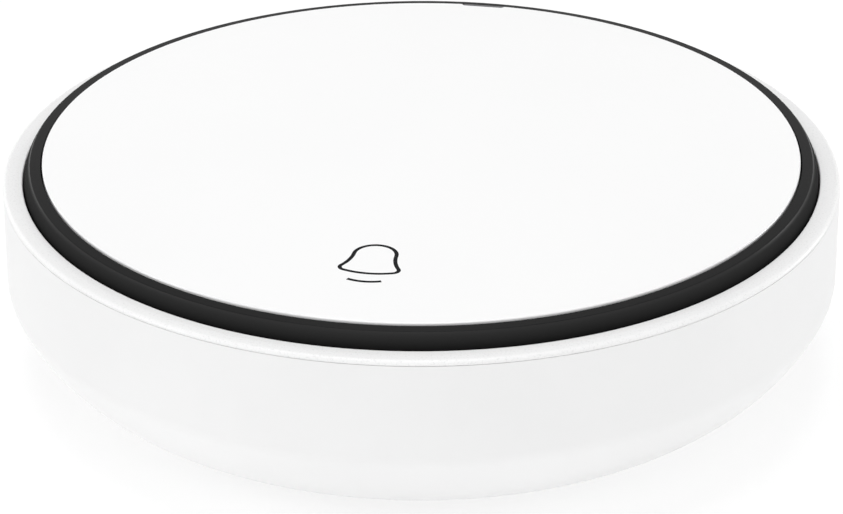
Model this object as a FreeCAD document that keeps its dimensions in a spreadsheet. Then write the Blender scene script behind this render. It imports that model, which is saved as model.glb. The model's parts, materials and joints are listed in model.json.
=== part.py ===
"""Wireless call button: a round, battery-powered push button that stands on a table or counter.

All sizes are millimetres. +Z is up, the origin is on the rest plane below the centre,
the bell mark is on the -Y side of the face plate and the indicator window on the +Y side.
"""
import FreeCAD, Part
import math
import os
import re

import Sketcher
from FreeCAD import Rotation, Vector

# Sizes that a designer sets, each by itself
DRIVING = {
    # housing
    "housing_radius": 40.0,
    "wall_thickness": 1.9,
    "wall_foot_height": 10.7,
    "corner_radius": 3.2,
    "corner_angle": 25.0,
    "parting_gap": 0.05,
    "boss_wall": 0.95,
    "gusset_reach": 3.0,
    "gusset_thickness": 1.2,
    # bezel ring
    "lip_fall": 0.07,
    "lip_fillet": 0.45,
    "lip_round": 0.15,
    "tongue_thickness": 0.8,
    "tongue_depth": 2.65,
    "tongue_gap": 0.05,
    "bead_depth": 0.15,
    "bead_height": 0.35,
    # press cap
    "cap_proud": 1.73,
    "cap_gap": 0.15,
    "press_travel": 0.6,
    "ring_width": 1.0,
    "ring_drop": 0.22,
    "ring_fall": 0.05,
    "crease_round": 0.12,
    "flare_angle": 40.5,
    "flare_below_lip": 0.1,
    "skirt_wall": 1.3,
    "skirt_clearance": 0.5,
    "deck_thickness": 1.4,
    "deck_rib_depth": 1.2,
    "deck_rib_thickness": 1.0,
    "boss_height": 0.4,
    "boss_radius": 5.5,
    "press_pad_radius": 4.5,
    "press_pad_thickness": 0.4,
    # face plate
    "plate_gap": 0.06,
    "plate_thickness": 1.3,
    "plate_bevel_inset": 0.18,
    "plate_bevel_drop": 0.13,
    "plate_bevel_radius": 0.2,
    "tape_thickness": 0.2,
    "tape_inset": 3.2,
    # indicator window, its light guide and the lamp below them
    "window_width": 4.4,
    "window_reach": 0.5,
    "window_round": 0.4,
    "window_foot": 1.95,
    "window_fit": 0.03,
    "guide_radius": 1.0,
    "guide_inset": 1.85,
    "guide_flange": 0.35,
    "guide_flange_height": 0.6,
    "lamp_length": 3.2,
    "lamp_width": 1.6,
    "lamp_base_height": 0.45,
    "lamp_dome_height": 0.45,
    "lamp_gap": 0.2,
    # bell mark
    "mark_depth": 0.1,
    "mark_line": 0.38,
    "bell_inset": 13.12,
    "bell_dome_radius": 1.94,
    "bell_flank_radius": 5.11,
    "bell_flank_angle": 29.7,
    "bell_corner_radius": 0.6,
    "bell_mouth_radius": 6.6,
    "bell_arc_radius": 4.1,
    "bell_arc_reach": 1.55,
    "bell_arc_gap": 1.64,
    # hooks that hold the cap down, springs and stops
    "hook_inset": 4.65,
    "hook_leg": 1.4,
    "hook_width": 5.0,
    "hook_nose": 0.9,
    "hook_nose_height": 1.2,
    "hook_gap": 0.05,
    "hook_slot_play": 0.3,
    "spring_inset": 7.5,
    "spring_radius": 2.25,
    "spring_wire": 0.2,
    "spring_turns": 4.0,
    "spring_pin_radius": 1.7,
    "spring_pin_height": 1.0,
    "stop_inset": 2.0,
    "stop_radius": 1.6,
    "stop_gap": 0.03,
    # inner frame
    "frame_gap": 0.4,
    "frame_thickness": 1.5,
    "component_space": 3.0,
    "frame_boss_radius": 3.3,
    # circuit board and its parts
    "board_thickness": 1.6,
    "board_edge_gap": 3.1,
    "board_tab_width": 8.0,
    "board_tab_reach": 1.6,
    "leaf_space": 1.15,
    "lead_drop": 0.6,
    "antenna_inset": 2.0,
    "antenna_wire": 0.4,
    "antenna_rise": 1.8,
    "antenna_angle": 96.0,
    "radio_side": 5.0,
    "radio_height": 0.9,
    "radio_place": 14.0,
    "radio_offset": 6.0,
    "crystal_length": 5.0,
    "crystal_width": 3.2,
    "crystal_height": 1.1,
    "crystal_gap": 4.4,
    "chip_length": 1.6,
    "chip_width": 0.8,
    "chip_height": 0.5,
    "chip_spacing": 2.9,
    # push switch
    "switch_width": 12.0,
    "switch_base_height": 3.2,
    "switch_cover": 0.3,
    "switch_floor": 1.0,
    "switch_height": 7.3,
    "stem_radius": 3.4,
    "stem_collar": 0.9,
    "stem_flange": 0.8,
    "stem_shoulder": 1.1,
    "stem_key": 3.8,
    "stem_play": 0.08,
    "dome_thickness": 0.12,
    "lead_width": 0.9,
    "lead_thickness": 0.3,
    "lead_spacing": 5.0,
    # coin cell, its holder and contacts
    "cell_radius": 12.25,
    "cell_height": 5.0,
    "cell_step_height": 0.7,
    "cell_step_inset": 1.3,
    "cell_round": 0.5,
    "seat_rise": 0.05,
    "holder_gap": 0.25,
    "holder_wall": 1.3,
    "holder_rise": 1.0,
    "contact_thickness": 0.25,
    "contact_width": 3.2,
    "contact_foot": 3.4,
    # battery door
    "door_rim": 3.3,
    "door_gap": 0.12,
    "door_flange": 1.0,
    "door_play": 0.05,
    "plug_radius": 13.9,
    "plug_gap": 0.1,
    "lug_reach": 1.2,
    "lug_width": 7.0,
    "lug_thickness": 0.75,
    "lug_play": 0.15,
    "door_turn": 35.0,
    "stop_block": 1.5,
    "coin_slot_length": 14.0,
    "coin_slot_width": 2.2,
    "coin_slot_depth": 1.2,
    "seal_radius": 0.34,
    "seal_groove": 0.45,
    # foot and screws
    "foot_proud": 0.5,
    "foot_thickness": 1.2,
    "foot_door_margin": 2.28,
    "foot_width": 5.4,
    "foot_round": 0.3,
    "foot_fit": 0.05,
    "screw_radius": 1.25,
    "screw_fit": 0.25,
    "pilot_fit": 0.02,
    "screw_length": 11.9,
    "head_radius": 2.25,
    "head_height": 1.5,
    "head_gap": 0.1,
    "head_fit": 0.2,
    "recess_width": 0.6,
    "recess_length": 2.6,
    "recess_depth": 0.9,
}

# Levels above the rest plane, radii and other places that follow from the sizes
FOLLOWING = {
    "housing_base": "foot_proud",
    "floor_top": "housing_base + wall_thickness",
    "ledge_bottom": "housing_base + door_flange + door_play",
    "ledge_middle": "(ledge_bottom + floor_top) / 2",
    "lug_top": "floor_top + door_play + lug_thickness",
    "cell_seat": "lug_top + seat_rise",
    "board_bottom": "cell_seat + cell_height + leaf_space",
    "board_top": "board_bottom + board_thickness",
    "frame_bottom": "board_top + component_space",
    "frame_top": "frame_bottom + frame_thickness",
    "deck_bottom": "board_top + switch_height + press_pad_thickness + boss_height",
    "deck_top": "deck_bottom + deck_thickness",
    "plate_bottom": "deck_top + tape_thickness",
    "plate_top": "plate_bottom + plate_thickness",
    "lip_top": "plate_top - cap_proud",
    "bezel_edge": "lip_top - lip_fall - lip_fillet",
    "wall_top": "bezel_edge - parting_gap",
    "tongue_seat": "wall_top - tongue_depth",
    "skirt_bottom": "frame_top + press_travel + skirt_clearance",
    "head_seat": "foot_thickness + head_gap + head_height",
    # radii, from the outside of the housing inward
    "inner_radius": "housing_radius - wall_thickness",
    "tongue_radius": "inner_radius + tongue_thickness",
    "skirt_radius": "inner_radius - cap_gap",
    "skirt_inner": "skirt_radius - skirt_wall",
    "crease_radius": "skirt_radius - flare_run - crease_reach * sin(flare_angle)",
    "ring_inner": "crease_radius - ring_width",
    "plate_radius": "ring_inner - plate_gap",
    "hook_radius": "skirt_inner - hook_inset",
    "slot_inner": "hook_radius - hook_nose",
    "slot_outer": "hook_radius + hook_leg + hook_slot_play",
    "board_radius": "slot_inner - board_edge_gap",
    "spring_circle": "hook_radius - spring_inset",
    "stop_circle": "hook_radius - stop_inset",
    "guide_place": "skirt_inner - guide_inset",
    "window_edge": "plate_radius - window_reach",
    "door_radius": "plug_radius + door_rim",
    "ledge_opening": "plug_radius + plug_gap",
    "seal_circle": "(plug_radius + lug_reach + door_radius) / 2",
    # flare of the cap's ring: an arc up from the skirt, rounded over into the ring's top
    "crease_level": "plate_top - ring_drop - ring_fall",
    "crease_reach": "crease_round * tan(45 - flare_angle / 2)",
    "flare_foot": "lip_top - flare_below_lip",
    "flare_climb": "crease_level - crease_reach * cos(flare_angle) - flare_foot",
    "flare_run": "flare_climb * tan(flare_angle / 2)",
    # bowl of the housing: a small arc below the wall, then a large one down to the flat
    "bend_radius": "housing_radius - corner_radius * (1 - cos(corner_angle))",
    "bend_level": "wall_foot_height - housing_base - corner_radius * sin(corner_angle)",
    "bowl_radius": "bend_level / (1 - sin(corner_angle))",
    "flat_radius": "bend_radius - bowl_radius * cos(corner_angle)",
    "foot_inner": "door_radius + door_gap + foot_door_margin",
    "foot_outer": "foot_inner + foot_width",
    "screw_circle": "(foot_outer + foot_inner) / 2",
    # bell mark, measured from the centre of its dome
    "bell_end_x": "bell_dome_radius + bell_flank_radius * (1 - cos(bell_flank_angle))",
    "bell_end_y": "-bell_flank_radius * sin(bell_flank_angle)",
    "bell_corner_x": "bell_end_x - bell_corner_radius * cos(bell_flank_angle)",
    "bell_corner_y": "bell_end_y - bell_corner_radius * sin(bell_flank_angle)",
    "bell_mouth_span": "bell_mouth_radius - bell_corner_radius",
    "bell_mouth_rise": "sqrt(bell_mouth_span ^ 2 - bell_corner_x ^ 2)",
    "bell_mouth_y": "bell_corner_y + bell_mouth_rise",
    "bell_arc_y": "bell_mouth_y - bell_mouth_radius - bell_arc_gap + bell_arc_radius",
    "bell_arc_cosine": "sqrt(1 - (bell_arc_reach / bell_arc_radius) ^ 2)",
    "bell_place": "bell_inset - plate_radius",
}

ORIGIN_POINT = (-1, 1)
X_AXIS_INDEX = -1
Y_AXIS_INDEX = -2
LEFT_TURN = 1
RIGHT_TURN = -1

doc = FreeCAD.newDocument("call_button")
sheet_of = {}
nodes = []


def make_sheet(name, values):
    """Writes one row for each value: its name beside it, and the name as its alias."""
    sheet = doc.addObject("Spreadsheet::Sheet", name)
    for row, (alias, value) in enumerate(values.items(), start=1):
        sheet.set(f"A{row}", alias)
        sheet.set(f"B{row}", "=" + spelled(value) if isinstance(value, str) else str(value))
        sheet.setAlias(f"B{row}", alias)
        sheet_of[alias] = name
    return sheet


def spelled(expression):
    """Puts the name of its sheet before each alias in an expression."""
    def with_sheet(match):
        word = match.group()
        return f"{sheet_of[word]}.{word}" if word in sheet_of else word
    return re.sub(r"[a-z_]+", with_sheet, expression)


def amount(expression):
    """The number that an expression has now."""
    return float(sizes.evalExpression(spelled(expression)))


def bind(item, expressions):
    """Binds properties of an object to expressions of the sheets' values."""
    for name, expression in expressions.items():
        item.setExpression(name, spelled(expression))
    return item


def keep(item, label):
    """Marks an object as a finished sub-part, whose label is its node's name."""
    item.Label = label
    nodes.append(item)


# Sketches

def new_body(name, level="0"):
    """An empty body whose own zero level stands at the given level of the part."""
    body = doc.addObject("PartDesign::Body", name)
    return bind(body, {"Placement.Base.z": level})


def new_sketch(body, name, plane="XY_Plane", lift="0", turn="0"):
    """A sketch on one of the body's own planes, lifted off it and turned in it."""
    sketch = body.newObject("Sketcher::SketchObject", name)
    support = next(item for item in body.Origin.OriginFeatures if item.Role == plane)
    sketch.AttachmentSupport = [(support, "")]
    sketch.MapMode = "FlatFace"
    bind(sketch, {"AttachmentOffset.Base.z": lift, "AttachmentOffset.Rotation.Angle": turn})
    return sketch


def hold_point(sketch, edge, end, across, up):
    """Holds a point at two distances from the sketch's origin, or on its axes where they are zero."""
    for kind, axis, distance in (("DistanceX", Y_AXIS_INDEX, across), ("DistanceY", X_AXIS_INDEX, up)):
        if distance == "0":
            sketch.addConstraint(Sketcher.Constraint("PointOnObject", edge, end, axis))
        else:
            constraint = Sketcher.Constraint(kind, *ORIGIN_POINT, edge, end, amount(distance))
            index = sketch.addConstraint(constraint)
            bind(sketch, {f"Constraints[{index}]": distance})


def arc_between(start, end, radius, turn):
    """The arc of less than a half circle from start to end that turns left or right."""
    chord = end - start
    depth = math.sqrt(max(radius ** 2 - (chord.Length / 2) ** 2, 0.0))
    side = Vector(-chord.y, chord.x, 0).normalize() * (depth * turn)
    centre = (start + end) / 2 + side
    first, last = (start, end) if turn == LEFT_TURN else (end, start)
    angles = [math.atan2(point.y - centre.y, point.x - centre.x) for point in (first, last)]
    return Part.ArcOfCircle(Part.Circle(centre, Vector(0, 0, 1), radius), *angles)


def outline(sketch, corners):
    """Draws a closed loop. A corner is (across, up), or (across, up, radius, turn) where the side
    that leaves it is an arc."""
    points = [Vector(amount(corner[0]), amount(corner[1]), 0) for corner in corners]
    ends = []
    for place, corner in enumerate(corners):
        start = points[place]
        end = points[(place + 1) % len(points)]
        if len(corner) == 2:
            edge = sketch.addGeometry(Part.LineSegment(start, end))
            ends.append((edge, 1, 2))
            continue
        radius, turn = corner[2:]
        edge = sketch.addGeometry(arc_between(start, end, amount(radius), turn))
        index = sketch.addConstraint(Sketcher.Constraint("Radius", edge, amount(radius)))
        bind(sketch, {f"Constraints[{index}]": radius})
        ends.append((edge, 1, 2) if turn == LEFT_TURN else (edge, 2, 1))
    for place, (edge, start, end) in enumerate(ends):
        following = ends[(place + 1) % len(ends)]
        sketch.addConstraint(Sketcher.Constraint("Coincident", edge, end, following[0], following[1]))
        hold_point(sketch, edge, start, *corners[place][:2])
    return sketch


def circle(sketch, radius, across="0", up="0"):
    """Draws a circle."""
    centre = Vector(amount(across), amount(up), 0)
    edge = sketch.addGeometry(Part.Circle(centre, Vector(0, 0, 1), amount(radius)))
    index = sketch.addConstraint(Sketcher.Constraint("Radius", edge, amount(radius)))
    bind(sketch, {f"Constraints[{index}]": radius})
    hold_point(sketch, edge, 3, across, up)
    return sketch


def rectangle(sketch, left, right, low, high):
    """Draws a rectangle between its four sides."""
    return outline(sketch, [(left, low), (right, low), (right, high), (left, high)])


def centred(sketch, width, depth=None):
    """Draws a rectangle about the origin."""
    half_width = f"({width}) / 2"
    half_depth = f"({depth or width}) / 2"
    return rectangle(sketch, "-" + half_width, half_width, "-" + half_depth, half_depth)


# Features

def revolve(body, sketch):
    """Turns a profile of across and up all the way round the body's Z axis."""
    feature = body.newObject("PartDesign::Revolution", sketch.Name + "_turned")
    feature.Profile = sketch
    feature.ReferenceAxis = (sketch, ["V_Axis"])
    feature.Angle = 360
    return feature


def pad(body, sketch, length, down=False, both_ways=False):
    """Adds the sketch's outline, drawn out along the sketch's normal."""
    feature = body.newObject("PartDesign::Pad", sketch.Name + "_padded")
    feature.Profile = sketch
    feature.Reversed = down
    feature.SideType = "Symmetric" if both_ways else "One side"
    bind(feature, {"Length": length})
    return feature


def pocket(body, sketch, length, up=True):
    """Cuts the sketch's outline away, upward or downward, and makes sure that something went."""
    doc.recompute()
    before = body.Shape.Volume
    feature = body.newObject("PartDesign::Pocket", sketch.Name + "_cut")
    feature.Profile = sketch
    feature.Reversed = up
    bind(feature, {"Length": length})
    doc.recompute()
    if body.Shape.Volume >= before:
        raise RuntimeError(f"{feature.Name} cuts nothing from {body.Name}")
    return feature


def repeat(body, features, count):
    """Repeats features evenly round the body's Z axis."""
    pattern = body.newObject("PartDesign::PolarPattern", features[-1].Name + "_round")
    pattern.Originals = features
    axis = next(item for item in body.Origin.OriginFeatures if item.Role == "Z_Axis")
    pattern.Axis = (axis, [""])
    pattern.Angle = 360
    pattern.Occurrences = count
    body.Tip = pattern
    return pattern


# Primitives

def place(item, across="0", along="0", up="0"):
    """Binds the place of a primitive."""
    return bind(item, {
        "Placement.Base.x": across,
        "Placement.Base.y": along,
        "Placement.Base.z": up,
    })


def cylinder(name, radius, height, across="0", along="0", up="0"):
    """An upright cylinder on the centre of its base."""
    item = doc.addObject("Part::Cylinder", name)
    bind(item, {"Radius": radius, "Height": height})
    return place(item, across, along, up)


def block(name, size, centre, up):
    """A block of (length, width, height) above the middle of its base."""
    item = doc.addObject("Part::Box", name)
    length, width, height = size
    bind(item, {"Length": length, "Width": width, "Height": height})
    return place(item, f"{centre[0]} - ({length}) / 2", f"{centre[1]} - ({width}) / 2", up)


def joined(name, items):
    """One solid out of several that meet."""
    item = doc.addObject("Part::MultiFuse", name)
    item.Shapes = items
    return item


def without(name, base, tool):
    """A solid with another one cut out of it."""
    item = doc.addObject("Part::Cut", name)
    item.Base = base
    item.Tool = tool
    return item


def group(name, items):
    """Several separate solids that share a node."""
    item = doc.addObject("Part::Compound", name)
    item.Links = items
    return item


def round_places(count, circle_radius, first_angle):
    """Expressions of X and Y for places spaced evenly on a circle."""
    for index in range(count):
        angle = first_angle + index * 360 / count
        yield index, f"{circle_radius} * cos({angle})", f"{circle_radius} * sin({angle})"


SCREW_ANGLE = 90
SPRING_ANGLE = 270


# Housing

def lower_housing():
    """The white cup: straight wall, rounded bowl, flat floor with the battery opening."""
    body = new_body("housing", "housing_base")
    inner_corner = "corner_radius - wall_thickness"
    inner_bend = "bend_radius - wall_thickness * cos(corner_angle)"
    inner_bend_level = "bend_level + wall_thickness * sin(corner_angle)"
    rebate = "tongue_radius + tongue_gap"
    seat = "tongue_seat - housing_base"
    bead = f"{seat} + tongue_depth / 2"
    profile = new_sketch(body, "cup_profile", "XZ_Plane")
    outline(profile, [
        ("0", "0"),
        ("flat_radius", "0", "bowl_radius", LEFT_TURN),
        ("bend_radius", "bend_level", "corner_radius", LEFT_TURN),
        ("housing_radius", "wall_foot_height - housing_base"),
        ("housing_radius", "wall_top - housing_base"),
        (rebate, "wall_top - housing_base"),
        (rebate, f"{bead} + bead_height"),
        (f"{rebate} + bead_depth", bead),
        (rebate, f"{bead} - bead_height"),
        (rebate, seat),
        ("inner_radius", seat),
        ("inner_radius", "wall_foot_height - housing_base", inner_corner, RIGHT_TURN),
        (inner_bend, inner_bend_level, "bowl_radius - wall_thickness", RIGHT_TURN),
        ("flat_radius", "wall_thickness"),
        ("0", "wall_thickness"),
    ])
    revolve(body, profile)

    # Six gussets carry the rim of the inner frame
    gusset_inner = "inner_radius - gusset_reach"
    mid_bowl = "bowl_radius - wall_thickness / 2"
    gusset_foot = f"bowl_radius - sqrt(({mid_bowl}) ^ 2 - ({gusset_inner} - flat_radius) ^ 2)"
    gusset = new_sketch(body, "gusset", "XZ_Plane")
    outline(gusset, [
        (gusset_inner, gusset_foot),
        ("inner_radius + wall_thickness / 2", "wall_foot_height - housing_base"),
        ("inner_radius + wall_thickness / 2", "frame_bottom - housing_base"),
        (gusset_inner, "frame_bottom - housing_base"),
    ])
    repeat(body, [pad(body, gusset, "gusset_thickness", both_ways=True)], 6)

    # Three bosses carry the circuit board, with the case screws through them
    boss = circle(new_sketch(body, "screw_boss", lift="ledge_middle - housing_base"),
                  "head_radius + head_fit + boss_wall", up="screw_circle")
    boss_pad = pad(body, boss, "board_bottom - ledge_middle")
    head = circle(new_sketch(body, "screw_head_recess"), "head_radius + head_fit", up="screw_circle")
    head_cut = pocket(body, head, "head_seat - housing_base")
    shank = circle(new_sketch(body, "screw_hole"), "screw_radius + screw_fit", up="screw_circle")
    shank_cut = pocket(body, shank, "board_bottom")
    repeat(body, [boss_pad, head_cut, shank_cut], 3)

    # Groove for the foot ring
    foot = new_sketch(body, "foot_groove")
    circle(foot, "foot_outer + foot_fit")
    circle(foot, "foot_inner - foot_fit")
    pocket(body, foot, "foot_thickness - foot_proud")

    # Opening for the battery door, with three ways in for its lugs
    recess = circle(new_sketch(body, "door_recess"), "door_radius + door_gap")
    pocket(body, recess, "ledge_bottom - housing_base")
    opening = circle(new_sketch(body, "door_opening"), "ledge_opening")
    pocket(body, opening, "wall_thickness + 1")
    notch_side = "(lug_width / 2 + lug_play)"
    notch = new_sketch(body, "lug_notch", turn="-door_turn")
    notch_reach = "plug_radius + lug_reach + lug_play"
    rectangle(notch, "-" + notch_side, notch_side, "plug_radius / 2", notch_reach)
    repeat(body, [pocket(body, notch, "wall_thickness + 1")], 3)

    # Blocks that stop the lugs, closed at one end of their travel and open at the other
    block_inner = "ledge_opening + plug_gap"
    block_outer = "plug_radius + lug_reach + stop_block"
    closed = new_sketch(body, "closed_stop", lift="ledge_middle - housing_base")
    rectangle(closed, f"-{notch_side} - stop_block", f"-{notch_side}", block_inner, block_outer)
    opened = new_sketch(body, "open_stop", lift="ledge_middle - housing_base", turn="-door_turn")
    rectangle(opened, notch_side, f"{notch_side} + stop_block", block_inner, block_outer)
    height = "lug_top - ledge_middle"
    repeat(body, [pad(body, closed, height), pad(body, opened, height)], 3)
    keep(body, "lower_housing")


def top_bezel():
    """The white ring that snaps into the top of the housing and frames the cap."""
    body = new_body("bezel", "tongue_seat")
    bead = "tongue_depth / 2"
    profile = new_sketch(body, "bezel_profile", "XZ_Plane")
    outline(profile, [
        ("inner_radius", "0"),
        ("tongue_radius", "0"),
        ("tongue_radius", f"{bead} - bead_height"),
        ("tongue_radius + bead_depth", bead),
        ("tongue_radius", f"{bead} + bead_height"),
        ("tongue_radius", "bezel_edge - tongue_seat"),
        ("housing_radius", "bezel_edge - tongue_seat", "lip_fillet", LEFT_TURN),
        ("housing_radius - lip_fillet", "bezel_edge + lip_fillet - tongue_seat"),
        ("inner_radius + lip_round", "lip_top - tongue_seat", "lip_round", LEFT_TURN),
        ("inner_radius", "lip_top - lip_round - tongue_seat"),
    ])
    revolve(body, profile)
    keep(body, "top_bezel")


def inner_frame():
    """The black deck between board and cap: it guides the cap's hooks and carries the springs."""
    body = new_body("frame", "frame_bottom")
    disc = circle(new_sketch(body, "frame_disc"), "inner_radius - frame_gap")
    pad(body, disc, "frame_thickness")
    hole = centred(new_sketch(body, "switch_hole"), "switch_width + 2 * frame_gap")
    pocket(body, hole, "frame_thickness + 1")
    guide = circle(new_sketch(body, "guide_hole"), "guide_radius + window_fit", up="guide_place")
    pocket(body, guide, "frame_thickness + 1")

    # Bosses that stand on the board and take the case screws
    boss = circle(new_sketch(body, "frame_boss"), "frame_boss_radius", up="screw_circle")
    boss_pad = pad(body, boss, "component_space", down=True)
    pilot = circle(new_sketch(body, "pilot_hole", lift="board_top - frame_bottom"),
                   "screw_radius + pilot_fit", up="screw_circle")
    pilot_cut = pocket(body, pilot, "head_seat + screw_length + head_gap - board_top")
    repeat(body, [boss_pad, pilot_cut], 3)

    # Slots for the hooks
    half_width = "(hook_width / 2 + hook_slot_play)"
    slot = new_sketch(body, "hook_slot")
    rectangle(slot, "-" + half_width, half_width, "-slot_outer", "-slot_inner")
    repeat(body, [pocket(body, slot, "frame_thickness + 1")], 3)

    # Pins inside the springs, and posts that stop the cap
    pin = circle(new_sketch(body, "frame_spring_pin", lift="frame_thickness"),
                 "spring_pin_radius", up="-spring_circle")
    repeat(body, [pad(body, pin, "spring_pin_height")], 3)
    post = new_sketch(body, "stop_post", lift="frame_thickness")
    circle(post, "stop_radius", up="stop_circle")
    repeat(body, [pad(body, post, "deck_bottom - press_travel - stop_gap - frame_top")], 3)
    keep(body, "inner_frame")


def foot_ring():
    """The soft ring that the button stands on, pressed into its groove."""
    body = new_body("foot")
    profile = new_sketch(body, "foot_profile", "XZ_Plane")
    outline(profile, [
        ("foot_inner + foot_round", "0"),
        ("foot_outer - foot_round", "0", "foot_round", LEFT_TURN),
        ("foot_outer", "foot_round"),
        ("foot_outer", "foot_thickness"),
        ("foot_inner", "foot_thickness"),
        ("foot_inner", "foot_round", "foot_round", LEFT_TURN),
    ])
    revolve(body, profile)
    keep(body, "foot_ring")


def case_screws():
    """Three screws up through housing and board into the inner frame, under the foot ring."""
    screws = []
    for index, across, along in round_places(3, "screw_circle", SCREW_ANGLE):
        head = cylinder(f"screw_head_{index}", "head_radius", "head_height",
                        across, along, "head_seat - head_height")
        shank = cylinder(f"screw_shank_{index}", "screw_radius", "screw_length",
                         across, along, "head_seat")
        bars = [
            block(f"recess_bar_{index}_{way}", size, (across, along), "head_seat - head_height")
            for way, size in enumerate([
                ("recess_length", "recess_width", "recess_depth"),
                ("recess_width", "recess_length", "recess_depth"),
            ])
        ]
        blank = joined(f"screw_blank_{index}", [head, shank])
        cross = joined(f"screw_cross_{index}", bars)
        screws.append(without(f"screw_{index}", blank, cross))
    keep(group("screws", screws), "case_screws")


# Battery door

def battery_door():
    """The round door in the underside: a coin turns its lugs onto the housing's ledge."""
    body = new_body("door", "housing_base")
    groove_low = "door_flange - 2 * seal_radius"
    profile = new_sketch(body, "door_profile", "XZ_Plane")
    outline(profile, [
        ("0", "0"),
        ("door_radius", "0"),
        ("door_radius", "door_flange"),
        ("seal_circle + seal_groove", "door_flange"),
        ("seal_circle + seal_groove", groove_low),
        ("seal_circle - seal_groove", groove_low),
        ("seal_circle - seal_groove", "door_flange"),
        ("plug_radius", "door_flange"),
        ("plug_radius", "cell_seat - housing_base"),
        ("0", "cell_seat - housing_base"),
    ])
    revolve(body, profile)
    lug = new_sketch(body, "door_lug", lift="wall_thickness + door_play")
    rectangle(lug, "-lug_width / 2", "lug_width / 2", "plug_radius / 2", "plug_radius + lug_reach")
    repeat(body, [pad(body, lug, "lug_thickness")], 3)
    half_length = "(coin_slot_length - coin_slot_width) / 2"
    half_width = "coin_slot_width / 2"
    slot = new_sketch(body, "coin_slot")
    outline(slot, [
        (f"-{half_length}", f"-{half_width}"),
        (half_length, f"-{half_width}", half_width, LEFT_TURN),
        ("coin_slot_length / 2", "0", half_width, LEFT_TURN),
        (half_length, half_width),
        (f"-{half_length}", half_width, half_width, LEFT_TURN),
        ("-coin_slot_length / 2", "0", half_width, LEFT_TURN),
    ])
    pocket(body, slot, "coin_slot_depth")
    keep(body, "battery_door")


def door_seal():
    """The rubber ring in the door's groove."""
    ring = doc.addObject("Part::Torus", "seal")
    bind(ring, {"Radius1": "seal_circle", "Radius2": "seal_radius"})
    keep(place(ring, up="housing_base + door_flange - seal_radius"), "door_seal")


# Coin cell and contacts

def coin_cell():
    """The cell, its stepped negative face up."""
    body = new_body("cell", "cell_seat")
    can_top = "cell_height - cell_step_height"
    profile = new_sketch(body, "cell_profile", "XZ_Plane")
    outline(profile, [
        ("0", "0"),
        ("cell_radius - cell_round", "0", "cell_round", LEFT_TURN),
        ("cell_radius", "cell_round"),
        ("cell_radius", can_top, "cell_round", LEFT_TURN),
        ("cell_radius - cell_round", f"{can_top} + cell_round"),
        ("cell_radius - cell_step_inset", f"{can_top} + cell_round"),
        ("cell_radius - cell_step_inset", "cell_height"),
        ("0", "cell_height"),
    ])
    revolve(body, profile)
    keep(body, "coin_cell")


def battery_holder():
    """The ring under the board that keeps the cell in place, open on one side for the contact."""
    body = new_body("holder", "cell_seat + holder_rise")
    height = "board_bottom - cell_seat - holder_rise"
    ring = new_sketch(body, "holder_ring")
    circle(ring, "cell_radius + holder_gap + holder_wall")
    circle(ring, "cell_radius + holder_gap")
    pad(body, ring, height)
    gap_half = "(contact_width / 2 + holder_gap)"
    gap = new_sketch(body, "contact_gap")
    rectangle(gap, "cell_radius / 2", "cell_radius + holder_wall + 1", "-" + gap_half, gap_half)
    pocket(body, gap, height)
    keep(body, "battery_holder")


def positive_contact():
    """The strip that touches the side of the cell's can."""
    body = new_body("can_contact")
    face = "cell_radius + holder_gap / 5"
    back = f"{face} + contact_thickness"
    low = "cell_seat + holder_rise + contact_thickness"
    profile = new_sketch(body, "can_contact_profile", "XZ_Plane")
    outline(profile, [
        (face, low),
        (back, low),
        (back, "board_bottom - contact_thickness"),
        (f"{back} + contact_foot", "board_bottom - contact_thickness"),
        (f"{back} + contact_foot", "board_bottom"),
        (face, "board_bottom"),
    ])
    pad(body, profile, "contact_width", both_ways=True)
    keep(body, "positive_contact")


def negative_contact():
    """The leaf that hangs from the board and presses on the middle of the cell."""
    body = new_body("leaf_contact")
    cell_top = "cell_seat + cell_height"
    under = "board_bottom - contact_thickness"
    reach = "contact_width"
    profile = new_sketch(body, "leaf_profile", "XZ_Plane")
    outline(profile, [
        (f"-3 * {reach}", under),
        (f"-{reach}", under),
        ("0", cell_top),
        (f"{reach} / 2", cell_top),
        (reach, f"{cell_top} + contact_thickness"),
        (reach, f"{cell_top} + 2 * contact_thickness"),
        (f"{reach} / 2", f"{cell_top} + contact_thickness"),
        ("0", f"{cell_top} + contact_thickness"),
        (f"-{reach}", "board_bottom"),
        (f"-3 * {reach}", "board_bottom"),
    ])
    pad(body, profile, "contact_width", both_ways=True)
    keep(body, "negative_contact")


# Circuit board

def circuit_board():
    """The round board, with a tab under the indicator window and holes for screws and leads."""
    body = new_body("board", "board_bottom")
    disc = circle(new_sketch(body, "board_disc"), "board_radius")
    pad(body, disc, "board_thickness")
    tab = new_sketch(body, "board_tab")
    rectangle(tab, "-board_tab_width / 2", "board_tab_width / 2",
              "board_radius / 2", "guide_place + board_tab_reach")
    pad(body, tab, "board_thickness")
    screw = circle(new_sketch(body, "board_screw_hole"), "screw_radius + screw_fit", up="screw_circle")
    repeat(body, [pocket(body, screw, "board_thickness + 1")], 3)
    leads = new_sketch(body, "lead_holes")
    for across in ("-{}", "{}"):
        for up in ("-lead_spacing / 2", "lead_spacing / 2"):
            side = across.format("(switch_width / 2 + lead_thickness / 2)")
            circle(leads, "lead_width / 2 + 2 * pilot_fit", side, up)
    pocket(body, leads, "board_thickness + 1")
    keep(body, "circuit_board")


def switch_base():
    """The square base of the push switch, with the well that its stem moves in."""
    body = new_body("switch", "board_top")
    pad(body, centred(new_sketch(body, "switch_square"), "switch_width"), "switch_base_height")
    well = circle(new_sketch(body, "switch_well", lift="switch_floor"),
                  "stem_radius + stem_collar + stem_play")
    pocket(body, well, "switch_base_height")
    keep(body, "switch_base")


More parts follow.
